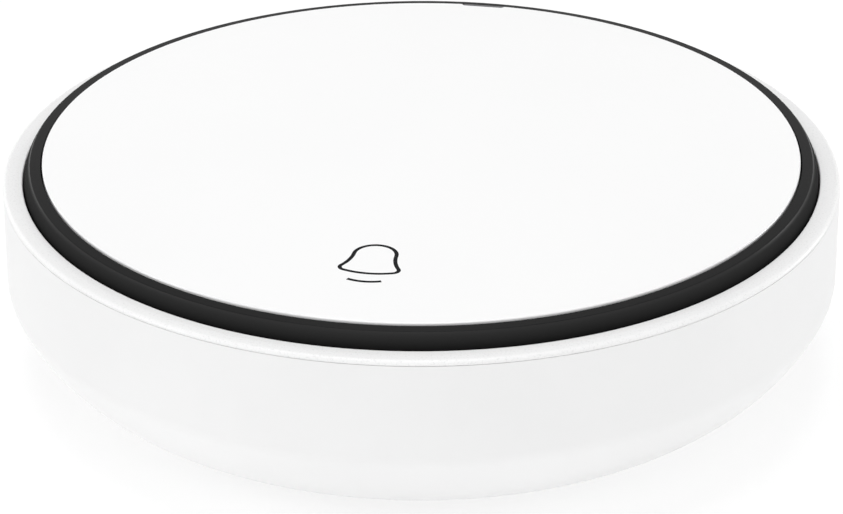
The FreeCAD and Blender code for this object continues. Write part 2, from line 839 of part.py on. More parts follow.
def switch_cover():
    """The steel plate that closes the switch round its stem."""
    body = new_body("cover", "board_top + switch_base_height")
    plate = centred(new_sketch(body, "cover_square"), "switch_width")
    circle(plate, "stem_radius + stem_play")
    pad(body, plate, "switch_cover")
    keep(body, "switch_cover")


def switch_stem():
    """The moving stem: a flange under the cover plate, a round shaft and a square key."""
    body = new_body("stem", "board_top")
    flange_top = "switch_base_height - hook_gap"
    shoulder = "switch_base_height + switch_cover + stem_shoulder"
    profile = new_sketch(body, "stem_profile", "XZ_Plane")
    outline(profile, [
        ("0", f"{flange_top} - stem_flange"),
        ("stem_radius + stem_collar", f"{flange_top} - stem_flange"),
        ("stem_radius + stem_collar", flange_top),
        ("stem_radius", flange_top),
        ("stem_radius", shoulder),
        ("0", shoulder),
    ])
    revolve(body, profile)
    key = centred(new_sketch(body, "stem_key_square", lift=shoulder), "stem_key")
    pad(body, key, f"switch_height - ({shoulder})")
    keep(body, "switch_stem")


def switch_dome():
    """The snap dome under the stem."""
    body = new_body("dome", "board_top + switch_floor")
    rise = "(switch_base_height - hook_gap - stem_flange - switch_floor)"
    reach = "(stem_radius + stem_collar)"
    inner_rise = f"({rise} - dome_thickness)"
    inner_reach = f"({reach} - dome_thickness)"
    profile = new_sketch(body, "dome_profile", "XZ_Plane")
    outline(profile, [
        (inner_reach, "0"),
        (reach, "0", f"({reach} ^ 2 + {rise} ^ 2) / (2 * {rise})", LEFT_TURN),
        ("0", rise),
        ("0", inner_rise, f"({inner_reach} ^ 2 + {inner_rise} ^ 2) / (2 * {inner_rise})", RIGHT_TURN),
    ])
    revolve(body, profile)
    keep(body, "switch_dome")


def switch_leads():
    """Four leads from the sides of the switch down through the board."""
    leads = []
    for side in (-1, 1):
        for end in (-1, 1):
            centre = (f"{side} * (switch_width + lead_thickness) / 2", f"{end} * lead_spacing / 2")
            size = ("lead_thickness", "lead_width", "lead_drop + board_thickness + switch_floor")
            leads.append(block(f"lead_{len(leads)}", size, centre, "board_bottom - lead_drop"))
    keep(group("leads", leads), "switch_leads")


def status_lamp():
    """The small lamp on the board's tab, below the light guide."""
    base = block("lamp_base", ("lamp_length", "lamp_width", "lamp_base_height"),
                 ("0", "guide_place"), "board_top")
    dome = cylinder("lamp_dome", "lamp_width / 2.4", "lamp_dome_height",
                    "0", "guide_place", "board_top + lamp_base_height")
    keep(joined("lamp", [base, dome]), "status_lamp")


def light_guide():
    """The clear rod from the lamp to just below the cap, hung by its flange on the inner frame."""
    low = "board_top + lamp_base_height + lamp_dome_height + lamp_gap"
    rod = cylinder("guide_rod", "guide_radius", f"deck_bottom - press_travel - lamp_gap - ({low})",
                   "0", "guide_place", low)
    flange = cylinder("guide_flange_disc", "guide_radius + guide_flange", "guide_flange_height",
                      "0", "guide_place", "frame_top")
    keep(joined("guide", [rod, flange]), "light_guide")


def antenna_loop():
    """The wire antenna: an arc that stands on two legs along the board's edge."""
    wire_circle = "(board_radius - antenna_inset)"
    first_angle = f"({SCREW_ANGLE + 60} - antenna_angle / 2)"
    wire_level = "board_top + antenna_rise"
    arc = doc.addObject("Part::Torus", "antenna_arc")
    bind(arc, {
        "Radius1": wire_circle,
        "Radius2": "antenna_wire",
        "Angle3": "antenna_angle",
        "Placement.Rotation.Angle": first_angle,
    })
    place(arc, up=wire_level)
    pieces = [arc]
    for end, angle in enumerate((first_angle, f"({first_angle} + antenna_angle)")):
        across = f"{wire_circle} * cos({angle})"
        along = f"{wire_circle} * sin({angle})"
        leg = cylinder(f"antenna_leg_{end}", "antenna_wire", "antenna_rise", across, along, "board_top")
        knee = doc.addObject("Part::Sphere", f"antenna_knee_{end}")
        bind(knee, {"Radius": "antenna_wire"})
        pieces += [leg, place(knee, across, along, wire_level)]
    keep(joined("antenna", pieces), "antenna_loop")


# Places of the small chip parts on the board, in chip spacings from the middle
CHIP_GRID = [
    (-4, 4),
    (-5, 4),
    (-6, 4),
    (-6.5, 0.5),
    (-4, -2.5),
    (-5, -2.5),
    (4.5, 2),
    (4.5, 3),
    (4.5, 4),
    (-1, 5.5),
]


def board_chips():
    """Radio chip, crystal and the small chip parts."""
    radio_size = ("radio_side", "radio_side", "radio_height")
    keep(block("radio", radio_size, ("-radio_place", "radio_offset"), "board_top"), "radio_chip")
    crystal_size = ("crystal_length", "crystal_width", "crystal_height")
    crystal_centre = ("-radio_place", "radio_offset - radio_side / 2 - crystal_gap - crystal_width / 2")
    keep(block("crystal", crystal_size, crystal_centre, "board_top"), "crystal_can")
    chips = []
    for column, row in CHIP_GRID:
        centre = (f"{column} * chip_spacing", f"{row} * chip_spacing")
        size = ("chip_length", "chip_width", "chip_height")
        chips.append(block(f"chip_{len(chips)}", size, centre, "board_top"))
    keep(group("chips", chips), "chip_parts")


# Press cap

def cap_carrier():
    """The black tray under the face plate: visible ring, skirt, ribs, boss, pins and hooks."""
    body = new_body("carrier", "deck_bottom")
    shoulder = "flare_foot + flare_climb - deck_bottom"
    profile = new_sketch(body, "carrier_profile", "XZ_Plane")
    outline(profile, [
        ("0", "0"),
        ("skirt_inner", "0"),
        ("skirt_inner", "skirt_bottom - deck_bottom"),
        ("skirt_radius", "skirt_bottom - deck_bottom"),
        ("skirt_radius", "flare_foot - deck_bottom", "flare_climb / sin(flare_angle)", LEFT_TURN),
        ("skirt_radius - flare_run", shoulder, "crease_round", LEFT_TURN),
        ("crease_radius - crease_reach", "crease_level - deck_bottom"),
        ("ring_inner", "crease_level + ring_fall - deck_bottom"),
        ("ring_inner", "deck_thickness"),
        ("0", "deck_thickness"),
    ])
    revolve(body, profile)

    # Ribs, the boss over the switch and the pins inside the springs
    rib = new_sketch(body, "deck_rib", lift="-deck_rib_depth")
    rectangle(rib, "boss_radius / 2", "skirt_inner + skirt_wall / 2",
              "-deck_rib_thickness / 2", "deck_rib_thickness / 2")
    repeat(body, [pad(body, rib, "deck_rib_depth + deck_thickness / 2")], 6)
    boss = circle(new_sketch(body, "switch_boss", lift="-boss_height"), "boss_radius")
    well = circle(new_sketch(body, "switch_boss_well", lift="-deck_rib_depth"), "boss_radius")
    pocket(body, well, "deck_rib_depth - boss_height")
    pad(body, boss, "boss_height + deck_thickness / 2")
    pin = circle(new_sketch(body, "cap_spring_pin"), "spring_pin_radius", up="-spring_circle")
    repeat(body, [pad(body, pin, "spring_pin_height", down=True)], 3)

    # Hooks under the inner frame
    catch = "frame_bottom - hook_gap - deck_bottom"
    tip = f"{catch} - hook_nose_height"
    back = "(hook_radius + hook_leg)"
    hook = new_sketch(body, "hook_profile", "YZ_Plane")
    outline(hook, [
        ("-hook_radius", "deck_thickness / 2"),
        (f"-{back}", "deck_thickness / 2"),
        (f"-{back}", catch),
        (f"-{back} - hook_nose", catch),
        (f"-{back} - hook_nose", f"{catch} - hook_nose_height / 3"),
        (f"-{back} + hook_nose / 3", tip),
        ("-hook_radius", tip),
    ])
    repeat(body, [pad(body, hook, "hook_width", both_ways=True)], 3)

    # Stepped opening for the indicator window
    foot = window_foot(new_sketch(body, "window_foot_opening"), "window_fit")
    pocket(body, foot, "deck_thickness")
    head = window_head(new_sketch(body, "window_head_opening"), "window_fit",
                       "window_edge + ring_width + window_fit")
    pocket(body, head, "plate_top - deck_bottom")
    keep(body, "cap_carrier")


def window_head(sketch, play, reach):
    """Draws the window's outline seen from above, with its two inner corners rounded."""
    half = f"(window_width / 2 + {play})"
    edge = f"(window_edge - {play})"
    return outline(sketch, [
        (f"-{half}", f"{edge} + window_round", "window_round", LEFT_TURN),
        (f"-{half} + window_round", edge),
        (f"{half} - window_round", edge, "window_round", LEFT_TURN),
        (half, f"{edge} + window_round"),
        (half, reach),
        (f"-{half}", reach),
    ])


def window_foot(sketch, play):
    """Draws the outline of the window's foot."""
    half = f"(window_width / 2 + {play})"
    return rectangle(sketch, "-" + half, half, f"window_edge - window_foot - {play}",
                     f"window_edge + ring_width + {play}")


def indicator_window():
    """The smoked window in the ring behind the face plate, with a foot that catches the light."""
    body = new_body("window", "deck_bottom")
    foot = window_foot(new_sketch(body, "window_foot_block"), "0")
    pad(body, foot, "deck_thickness")
    head = window_head(new_sketch(body, "window_head_block"), "0", "window_edge + ring_width")
    pad(body, head, "crease_level - deck_bottom")
    keep(body, "indicator_window")


def press_pad():
    """The soft pad between the carrier's boss and the switch."""
    keep(cylinder("pad_disc", "press_pad_radius", "press_pad_thickness",
                  up="board_top + switch_height"), "press_pad")


def plate_tape():
    """The double-sided tape that holds the face plate."""
    tape = cylinder("tape_disc", "plate_radius - tape_inset", "tape_thickness", up="deck_top")
    keep(tape, "plate_tape")


def face_plate():
    """The white face plate with a fine bevel, the window's notch and the mark's shallow lines."""
    body = new_body("plate", "plate_bottom")
    profile = new_sketch(body, "plate_profile", "XZ_Plane")
    outline(profile, [
        ("0", "0"),
        ("plate_radius", "0"),
        ("plate_radius", "plate_thickness - plate_bevel_drop", "plate_bevel_radius", LEFT_TURN),
        ("plate_radius - plate_bevel_inset", "plate_thickness"),
        ("0", "plate_thickness"),
    ])
    revolve(body, profile)
    notch = window_head(new_sketch(body, "window_notch"), "window_fit", "plate_radius + 1")
    pocket(body, notch, "plate_thickness")
    lines = new_sketch(body, "mark_lines", lift="plate_thickness - mark_depth")
    bell_lines(lines)
    pocket(body, lines, "mark_depth")
    keep(body, "face_plate")


def bell_mark():
    """The dark fill of the mark's lines, as two separate strokes level with the face."""
    strokes = []
    for index, draw in enumerate((bell_outline, bell_arc)):
        body = new_body(f"mark_stroke_{index}", "plate_top - mark_depth")
        pad(body, draw(new_sketch(body, f"mark_stroke_lines_{index}")), "mark_depth")
        strokes.append(body)
    keep(group("mark", strokes), "bell_mark")


def bell_lines(sketch):
    """Draws both strokes of the mark."""
    bell_outline(sketch)
    bell_arc(sketch)


def bell_outline(sketch):
    """Draws both edges of the bell's line: dome, flared flanks, round corners, curved mouth."""
    for side in ("+ mark_line / 2", "- mark_line / 2"):
        opposite = "- mark_line / 2" if side.startswith("+") else "+ mark_line / 2"
        dome = f"(bell_dome_radius {side})"
        flank = f"(bell_flank_radius {opposite})"
        corner = f"(bell_corner_radius {side})"
        mouth = f"(bell_mouth_radius {side})"
        end_x = f"(bell_end_x + cos(bell_flank_angle) * (0 {side}))"
        end_y = f"bell_place + bell_end_y + sin(bell_flank_angle) * (0 {side})"
        low_x = f"({mouth} * bell_corner_x / bell_mouth_span)"
        low_y = f"bell_place + bell_mouth_y - {mouth} * bell_mouth_rise / bell_mouth_span"
        outline(sketch, [
            (dome, "bell_place", dome, LEFT_TURN),
            ("0", f"bell_place + {dome}", dome, LEFT_TURN),
            (f"-{dome}", "bell_place", flank, RIGHT_TURN),
            (f"-{end_x}", end_y, corner, LEFT_TURN),
            (f"-{low_x}", low_y, mouth, LEFT_TURN),
            (low_x, low_y, corner, LEFT_TURN),
            (end_x, end_y, flank, RIGHT_TURN),
        ])
    return sketch


def bell_arc(sketch):
    """Draws the short arc below the bell."""
    outer = "(bell_arc_radius + mark_line / 2)"
    inner = "(bell_arc_radius - mark_line / 2)"
    sine = "bell_arc_reach / bell_arc_radius"
    outer_y = f"bell_place + bell_arc_y - {outer} * bell_arc_cosine"
    inner_y = f"bell_place + bell_arc_y - {inner} * bell_arc_cosine"
    return outline(sketch, [
        (f"-{outer} * {sine}", outer_y, outer, LEFT_TURN),
        (f"{outer} * {sine}", outer_y),
        (f"{inner} * {sine}", inner_y, inner, RIGHT_TURN),
        (f"-{inner} * {sine}", inner_y),
    ])


def biarc(start, leaving, end, arriving):
    """Two arcs that meet smoothly, from start to end, with the given unit directions at each."""
    span = end - start
    lean = 2 * (1 - leaving.dot(arriving))
    along = span.dot(leaving + arriving)
    reach = (math.sqrt(along ** 2 + lean * span.dot(span)) - along) / lean
    corners = (start + leaving * reach, end - arriving * reach)
    joint = (corners[0] + corners[1]) / 2
    arcs = []
    for first, corner, last in ((start, corners[0], joint), (joint, corners[1], end)):
        middle = (first + last) / 2
        half_chord = (last - first).Length / 2
        half_angle = math.acos(half_chord / reach)
        bulge = (corner - middle).normalize() * (half_chord * math.tan(half_angle / 2))
        arcs.append(Part.Arc(first, middle + bulge, last).toShape())
    return arcs


def coil(radius, wire_radius, height, turns):
    """One open coil spring about the Z axis, its wire drawn along quarter turns of two arcs each."""
    quarters = round(4 * turns)
    slope = height / (2 * math.pi * radius * turns)
    points = []
    for index in range(quarters + 1):
        angle = index * math.pi / 2
        point = Vector(radius * math.cos(angle), radius * math.sin(angle), height * index / quarters)
        points.append((point, Vector(-math.sin(angle), math.cos(angle), slope).normalize()))
    arcs = []
    for (start, leaving), (end, arriving) in zip(points, points[1:]):
        arcs += biarc(start, leaving, end, arriving)
    section = Part.Wire(Part.Circle(*points[0], wire_radius).toShape())
    return Part.Wire(arcs).makePipeShell([section], True, False)


def return_springs():
    """Three coil springs that lift the cap, each round a pin of the frame and one of the cap."""
    wire_radius = amount("spring_wire")
    height = amount("deck_bottom - frame_top - 2 * spring_wire")
    coils = []
    for _, across, along in round_places(3, "spring_circle", SPRING_ANGLE):
        spring = coil(amount("spring_radius"), wire_radius, height, amount("spring_turns"))
        spring.translate(Vector(amount(across), amount(along), 0))
        coils.append(spring)
    springs = doc.addObject("Part::Feature", "springs")
    springs.Shape = Part.makeCompound(coils)
    springs.Placement = FreeCAD.Placement(Vector(0, 0, amount("frame_top") + wire_radius), Rotation())
    keep(springs, "return_springs")


def check_model():
    """Stops if any object failed, or if a sub-part is empty or not valid."""
    for item in doc.Objects:
        if "Invalid" in item.State or "Error" in item.State:
            raise RuntimeError(f"{item.Name} failed: {item.State}")
    for node in nodes:
        if node.Shape.isNull() or not node.Shape.isValid():
            raise RuntimeError(f"{node.Label} has no valid shape")
        print(f"{node.Label}: {len(node.Shape.Solids)} solids, {node.Shape.Volume:.2f} mm3")


def write_parts():
    """Writes each sub-part to a STEP file of its own."""
    os.makedirs("parts", exist_ok=True)
    for node in nodes:
        node.Shape.exportStep(f"parts/{node.Label}.step")


sizes = make_sheet("Sizes", DRIVING)
make_sheet("Places", FOLLOWING)
doc.recompute()

MAKERS = (
    lower_housing, top_bezel, inner_frame, foot_ring, case_screws,
    battery_door, door_seal,
    coin_cell, battery_holder, positive_contact, negative_contact,
    circuit_board, switch_base, switch_cover, switch_stem, switch_dome, switch_leads,
    status_lamp, light_guide, antenna_loop, board_chips,
    cap_carrier, indicator_window, press_pad, plate_tape, face_plate, bell_mark,
    return_springs,
)
for make in MAKERS:
    make()
doc.recompute()
check_model()
write_parts()
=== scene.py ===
"""Wireless call button: ten pieces in full detail, a finish for each slot, and a small studio.

MM turns millimetres into metres. length() takes millimetres, and settings hold metres.
"""
import json
from math import asin, cos, hypot, pi, radians, sin, sqrt, tau

import bmesh
import bpy
from bpy.props import FloatProperty, FloatVectorProperty, PointerProperty
from bpy.types import Operator, Panel, PropertyGroup
from mathutils import Matrix, Vector


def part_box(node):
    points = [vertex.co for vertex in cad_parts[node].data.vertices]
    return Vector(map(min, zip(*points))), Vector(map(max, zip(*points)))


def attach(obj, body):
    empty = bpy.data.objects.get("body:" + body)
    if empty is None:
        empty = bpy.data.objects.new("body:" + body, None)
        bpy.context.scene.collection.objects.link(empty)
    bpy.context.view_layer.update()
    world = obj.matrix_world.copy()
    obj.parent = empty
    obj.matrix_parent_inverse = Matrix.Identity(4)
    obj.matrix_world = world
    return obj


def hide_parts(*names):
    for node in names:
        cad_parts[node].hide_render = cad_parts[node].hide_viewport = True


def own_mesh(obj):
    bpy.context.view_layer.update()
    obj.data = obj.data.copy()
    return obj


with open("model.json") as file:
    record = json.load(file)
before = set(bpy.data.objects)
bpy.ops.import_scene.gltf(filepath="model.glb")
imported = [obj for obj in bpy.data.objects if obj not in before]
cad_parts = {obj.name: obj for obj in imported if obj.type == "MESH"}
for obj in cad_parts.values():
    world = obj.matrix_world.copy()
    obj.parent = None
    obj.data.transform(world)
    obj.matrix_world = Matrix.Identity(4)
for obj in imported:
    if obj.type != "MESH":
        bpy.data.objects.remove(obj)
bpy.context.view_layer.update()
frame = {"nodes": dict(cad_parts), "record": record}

bl_info = {
    "name": "Call Button",
    "version": (1, 0, 0),
    "blender": (4, 5, 0),
    "location": "3D View > Sidebar > Call Button",
    "description": "Builds the detailed pieces, finishes and studio of a wireless call button",
    "category": "Object",
}

MM = 0.001
ROUND_SEGMENTS = 256
SMALL_SEGMENTS = 48
COIL_SEGMENTS = 24
WIRE_SEGMENTS = 12
ROUNDING_SEGMENTS = 4
SHARP_ANGLE = radians(40)
WELD_DISTANCE = 0.0005 * MM
UP = (0.0, 0.0, 1.0)
SLOT_COLOURS = {item["slot"]: item["base_color"] for item in frame["record"]["materials"]}
HOUSING_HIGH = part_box("lower_housing")[1]
BEZEL_LOW, BEZEL_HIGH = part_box("top_bezel")
PLATE_LOW, PLATE_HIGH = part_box("face_plate")
WINDOW_LOW, WINDOW_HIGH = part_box("indicator_window")
FOOT_LOW, FOOT_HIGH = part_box("foot_ring")
DOOR_LOW, DOOR_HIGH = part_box("battery_door")
SEAL_LOW, SEAL_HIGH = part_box("door_seal")
SCREWS_LOW, SCREWS_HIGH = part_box("case_screws")
BOARD_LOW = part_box("circuit_board")[0]
SPRINGS_LOW, SPRINGS_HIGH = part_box("return_springs")
DOME_LOW, DOME_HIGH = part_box("switch_dome")


# Settings

def length(name, description, default, low=0.0):
    """A length that a user can change, given in millimetres."""
    return FloatProperty(name=name, description=description, default=default * MM, min=low * MM,
                         unit="LENGTH", precision=5)


def angle(name, description, degrees):
    """An angle that a user can change."""
    return FloatProperty(name=name, description=description, default=radians(degrees),
                         subtype="ANGLE", unit="ROTATION")


def share(name, description, default):
    """A number from nothing to all."""
    return FloatProperty(name=name, description=description, default=default,
                         min=0.0, max=1.0, subtype="FACTOR")


def colour(name, description, slot):
    """A colour, at first the one that the record gives the slot."""
    return FloatVectorProperty(name=name, description=description, subtype="COLOR",
                               default=SLOT_COLOURS[slot][:3], min=0.0, max=1.0)


class HousingSettings(PropertyGroup):
    wall: length("Wall", "Thickness of the moulded wall", 1.9)
    wall_foot: length("Wall foot", "Where the straight wall ends", 10.7)
    corner_radius: length("Corner radius", "Small arc below the straight wall", 3.2)
    corner_angle: angle("Corner angle", "How far the small arc turns", 25)
    edge_round: length("Edge round", "Rounding of the moulded edges", 0.08)
    rim_round: length("Rim round", "Rounding of both edges at the parting line", 0.02)
    boss_radius: length("Boss radius", "Outside of the three screw bosses", 3.4)
    gusset_thickness: length("Gusset thickness", "Thickness of the six gussets", 1.2)


class BezelSettings(PropertyGroup):
    tongue: length("Tongue", "Thickness of the snap-in tongue", 0.8)
    tongue_depth: length("Tongue depth", "How far the tongue reaches down", 2.65)
    fillet: length("Fillet", "Large rounding of the outer edge", 0.42)
    inner_round: length("Inner round", "Small rounding beside the cap", 0.15)
    fall: length("Fall", "How far the lip drops towards the outside", 0.07)
    parting: length("Parting line", "Gap between the housing and the rim", 0.045)


class PlateSettings(PropertyGroup):
    rim_play: length("Rim play", "Room round the disc's edge", 0.1)
    rim_round: length("Rim round", "Rounding of the disc's rim", 0.16)
    notch_play: length("Notch play", "Room round the indicator window", 0.03)
    notch_round: length("Notch round", "Softening of the notch's edge", 0.04)
    mark_depth: length("Mark depth", "Depth of the filled lines", 0.1)
    mark_line: length("Mark line", "Width of the bell's line", 0.38, 0.05)
    mark_inset: length("Mark inset", "From the rim to the middle of the dome", 13.12)
    dome_radius: length("Dome radius", "Rounding of the bell's top", 1.94)
    flank_radius: length("Flank radius", "Hollow of the bell's flanks", 5.11)
    flank_angle: angle("Flank angle", "How far each flank turns outward", 29.7)
    corner_radius: length("Corner radius", "Rounding of the bell's two feet", 0.6)
    mouth_radius: length("Mouth radius", "Curve of the bell's mouth", 6.6)
    swing_radius: length("Swing radius", "Curve of the line below the bell", 4.1)
    swing_reach: length("Swing reach", "Half the width of the short line", 1.55)
    swing_gap: length("Swing gap", "From the mouth to the short line", 1.64)


class WindowSettings(PropertyGroup):
    reach: length("Reach", "From the window's inner edge to the ring", 1.09)
    corner_round: length("Corner round", "Rounding of the window's inner corners", 0.4)
    edge_round: length("Edge round", "Rounding of the window's top edges", 0.06)
    foot_height: length("Foot height", "Height of the window's foot", 1.4)


class UndersideSettings(PropertyGroup):
    foot_width: length("Foot width", "Width of the soft foot ring", 5.4)
    foot_round: length("Foot round", "Rounding of the foot ring's lower edges", 0.3)
    plug_radius: length("Plug radius", "Radius of the door's plug", 13.9)
    flange: length("Flange", "Thickness of the door's flange", 1.0)
    door_round: length("Door round", "Rounding of the door's edge", 0.15)
    slot_length: length("Slot length", "Length of the coin slot", 14.0)
    slot_width: length("Slot width", "Width of the coin slot", 2.2)
    slot_depth: length("Slot depth", "Depth of the coin slot", 1.2)
    slot_round: length("Slot round", "Rounding of the coin slot's rim", 0.15)
    screw_pitch: length("Screw pitch", "Rise of the screws' thread", 0.8)


class PressSettings(PropertyGroup):
    coil_radius: length("Coil radius", "From a spring's axis to its wire's middle", 2.25)
    wire: length("Wire", "Thickness of the springs' wire", 0.4)
    closed_pitch: length("Closed pitch", "Rise of the coils at the two ends", 0.42)
    open_coils: FloatProperty(name="Open coils", description="Coils that stand apart",
                              default=2.0, min=1.0)
    dome_thickness: length("Dome thickness", "Thickness of the snap dome's sheet", 0.12)


class FinishSettings(PropertyGroup):
    housing: colour("Housing", "White of the moulded cup and door", "housing_white")
    bezel: colour("Bezel", "White of the textured rim", "bezel_white")
    plate: colour("Face plate", "White of the glossy disc", "plate_white")
    ring: colour("Ring", "Black of the ring round the disc", "carrier_black")
    ink: colour("Ink", "Dark grey of the bell mark", "mark_ink")
    housing_roughness: share("Housing roughness", "How matt the moulded cup is", 0.42)
    bezel_roughness: share("Bezel roughness", "How matt the rim's rounded edge is", 0.28)
    plate_roughness: share("Plate roughness", "How matt the disc is", 0.2)
    ring_roughness: share("Ring roughness", "How matt the black ring is", 0.2)
    grain_size: length("Grain size", "Size of the moulded grain", 0.14, 0.01)


class StageSettings(PropertyGroup):
    azimuth: angle("Azimuth", "Turn of the camera round the button", 10.4)
    elevation: angle("Elevation", "Height of the camera above the disc", 24.84)
    pitch: angle("Pitch", "How far the camera looks down", 26.48)
    roll: angle("Roll", "Turn of the camera about its own view", -0.146)
    distance: length("Distance", "From the disc to the camera", 362.9, 100.0)
    lens: FloatProperty(name="Lens", description="Focal length on a 36 mm wide sensor",
                        default=161.8, min=20.0, unit="CAMERA")
    floor_radius: length("Floor radius", "How far the floor reaches", 3000.0, 500.0)
    room_level: share("Room level", "Even light from all round", 0.335)
    floor_glow: share("Floor glow", "Light from the floor itself", 0.16)
    table_glow: share("Table glow", "Light from the floor below the button", 0.32)
    floor_white: share("Floor white", "How much of the light the floor sends back", 0.9)
    shadow_depth: share("Shadow depth", "How dark the floor's shadow is seen", 0.32)
    lamp_level: FloatProperty(name="Lamp level", description="Power of all the softboxes",
                              default=1.0, min=0.0, subtype="FACTOR")


# Finishes

def feed(socket, value):
    """Gives an input a value, or links it where the value is a node's output."""
    if isinstance(value, bpy.types.NodeSocket):
        socket.id_data.links.new(value, socket)
    else:
        socket.default_value = value


def add_node(tree, kind, output, *sources, **values):
    """Adds a node: sources feed inputs in turn, small names are properties, others inputs."""
    node = tree.nodes.new("ShaderNode" + kind)
    for number, source in enumerate(sources):
        feed(node.inputs[number], source)
    for name, value in values.items():
        if name.islower():
            setattr(node, name, value)
        else:
            feed(node.inputs[name.replace("_", " ")], value)
    return node.outputs[output]


def spread(pattern, low, high, start=0.0, end=1.0):
    """A pattern's values from start to end, spread from low to high."""
    return add_node(pattern.id_data, "MapRange", "Result", Value=pattern, From_Min=start,
                    From_Max=end, To_Min=low, To_Max=high)


def toned(base, tone):
    """A lighter or darker tone of a colour."""
    return tuple(min(1.0, channel * tone) for channel in base[:3])


class Finish:
    """A node material: its Principled shader, and patterns in the object's own coordinates."""

    def __init__(self, name, base, roughness, **sockets):
        self.material = bpy.data.materials.new(name)
        self.material.use_nodes = True
        self.tree = self.material.node_tree
        self.shader = self.tree.nodes["Principled BSDF"]
        self.base = tuple(base[:3])
        self.material.diffuse_color = (*self.base, 1.0)
        sockets.update(Base_Color=(*self.base, 1.0), Roughness=roughness)
        for socket, value in sockets.items():
            feed(self.shader.inputs[socket.replace("_", " ")], value)
        self.place = self.add("TexCoord", "Object")
        self.relief = None

    def add(self, kind, output, *sources, **values):
        """Adds a node to this material."""
        return add_node(self.tree, kind, output, *sources, **values)

    def stretched(self, scale, turn=(0.0, 0.0, 0.0)):
        """The coordinates, drawn out along an axis for a brushed or moulded grain."""
        return self.add("Mapping", "Vector", Vector=self.place, Scale=scale, Rotation=turn)

    def noise(self, size, detail=2.0, roughness=0.5, place=None):
        """A cloudy pattern whose blots are about as large as the given length in metres."""
        return self.add("TexNoise", "Fac", Vector=place or self.place, Scale=1.0 / size,
                        Detail=detail, Roughness=roughness)

    def cells(self, size, feature="F1"):
        """A pattern of cells of the given length in metres."""
        return self.add("TexVoronoi", "Distance", feature=feature, Vector=self.place,
                        Scale=1.0 / size)

    def height(self):
        """The height above the floor, in metres."""
        return self.add("SeparateXYZ", "Z", self.place)

    def reach(self):
        """The distance from the upright axis, in metres."""
        flat = self.stretched((1.0, 1.0, 0.0))
        return self.add("VectorMath", "Value", flat, operation="LENGTH")

    def tint(self, pattern, tone, start=0.3, end=0.7):
        """Lets the colour run towards another tone of its base where the pattern is high."""
        colour = self.shader.inputs["Base Color"]
        before = colour.links[0].from_socket if colour.is_linked else (*self.base, 1.0)
        feed(colour, self.add("Mix", "Result", data_type="RGBA", A=before,
                              B=(*toned(self.base, tone), 1.0),
                              Factor=spread(pattern, 0.0, 1.0, start, end)))

    def polish(self, pattern, low, high, start=0.3, end=0.7):
        """Lets the roughness follow a pattern."""
        feed(self.shader.inputs["Roughness"], spread(pattern, low, high, start, end))

    def raise_by(self, pattern, height):
        """Raises the surface by a pattern, up to a height in metres."""
        earlier = {"Normal": self.relief} if self.relief else {}
        self.relief = self.add("Bump", "Normal", Distance=height, Height=pattern, **earlier)
        feed(self.shader.inputs["Normal"], self.relief)


def moulded(name, base, roughness, grain, depth, **sockets):
    """Moulded plastic: faint flow marks in its tone and gloss, and a fine grain."""
    finish = Finish(name, base, roughness, **sockets)
    finish.tint(finish.noise(0.018, 3.0), 0.97)
    finish.polish(finish.noise(0.006), roughness - 0.04, roughness + 0.04)
    finish.raise_by(finish.noise(grain, 3.0, 0.6), depth)
    return finish


def rubber(name, base, roughness):
    """Matt rubber: a soft, uneven bloom and a grain of fine pits."""
    finish = Finish(name, base, roughness, Specular_IOR_Level=0.3, Sheen_Weight=0.15)
    finish.tint(finish.noise(0.0007, 4.0), 1.12)
    finish.polish(finish.noise(0.004), roughness - 0.08, roughness + 0.05)
    finish.raise_by(finish.cells(0.00022), 0.000006)
    return finish


def metal(name, base, roughness, stretch=(1.0, 14.0, 1.0)):
    """Bare or plated metal with drawn or rolled lines and a slight bloom."""
    finish = Finish(name, base, roughness, Metallic=1.0)
    lines = finish.noise(0.00035, 3.0, 0.6, finish.stretched(stretch))
    finish.tint(finish.noise(0.003, 3.0), 0.86)
    finish.polish(lines, roughness - 0.08, roughness + 0.1)
    finish.raise_by(lines, 0.000001)
    return finish


def clear(name, base, roughness, ior):
    """Clear resin with a trace of flow and fine scratches."""
    finish = Finish(name, base, roughness, Transmission_Weight=0.9, IOR=ior)
    finish.polish(finish.noise(0.0012), roughness, roughness + 0.06)
    finish.raise_by(finish.noise(0.0006), 0.000001)
    return finish


def housing_white(settings):
    """White moulded ABS with a very fine satin."""
    return moulded("housing_white", settings.housing, settings.housing_roughness,
                   settings.grain_size, 0.000002)


DOOR_SMOOTHER = 0.05


def door_white(settings):
    """The housing's plastic from another tool, a little smoother."""
    return moulded("door_white", settings.housing, settings.housing_roughness - DOOR_SMOOTHER,
                   settings.grain_size, 0.0000015)


# The lip's painted shade beside the cap's ring, its specks and texture, measured from the rim's
# outer edge inward
LIP_PAINTED_SHADE, LIP_SHADE_START, LIP_SHADE_FULL = 0.93, 1.0 * MM, 1.9 * MM
SPECK_TONE, SPECK_START, SPECK_END = 0.86, 0.54, 0.72
TEXTURE_ROUGHNESS, TEXTURE_START, TEXTURE_FULL = 0.5, 0.4 * MM, 0.6 * MM


def bezel_white(settings):
    """White moulded ABS with a spark-eroded texture that shows as faint specks, and painted
    shade that darkens the lip beside the cap's ring.
    """
    finish = moulded("bezel_white", settings.bezel, settings.bezel_roughness,
                     settings.grain_size, 0.000001, Specular_IOR_Level=0.3)
    rim, reach = BEZEL_HIGH.x, finish.reach()
    # Painted shade: the inner part of the lip, next to the cap's ring, is darker
    finish.tint(reach, LIP_PAINTED_SHADE, rim - LIP_SHADE_START, rim - LIP_SHADE_FULL)
    finish.polish(reach, TEXTURE_ROUGHNESS, settings.bezel_roughness, rim - TEXTURE_FULL,
                  rim - TEXTURE_START)
    finish.tint(finish.noise(0.0002, 2.0, 0.7), SPECK_TONE, SPECK_START, SPECK_END)
    finish.raise_by(finish.cells(0.00024), 0.0000025)
    return finish


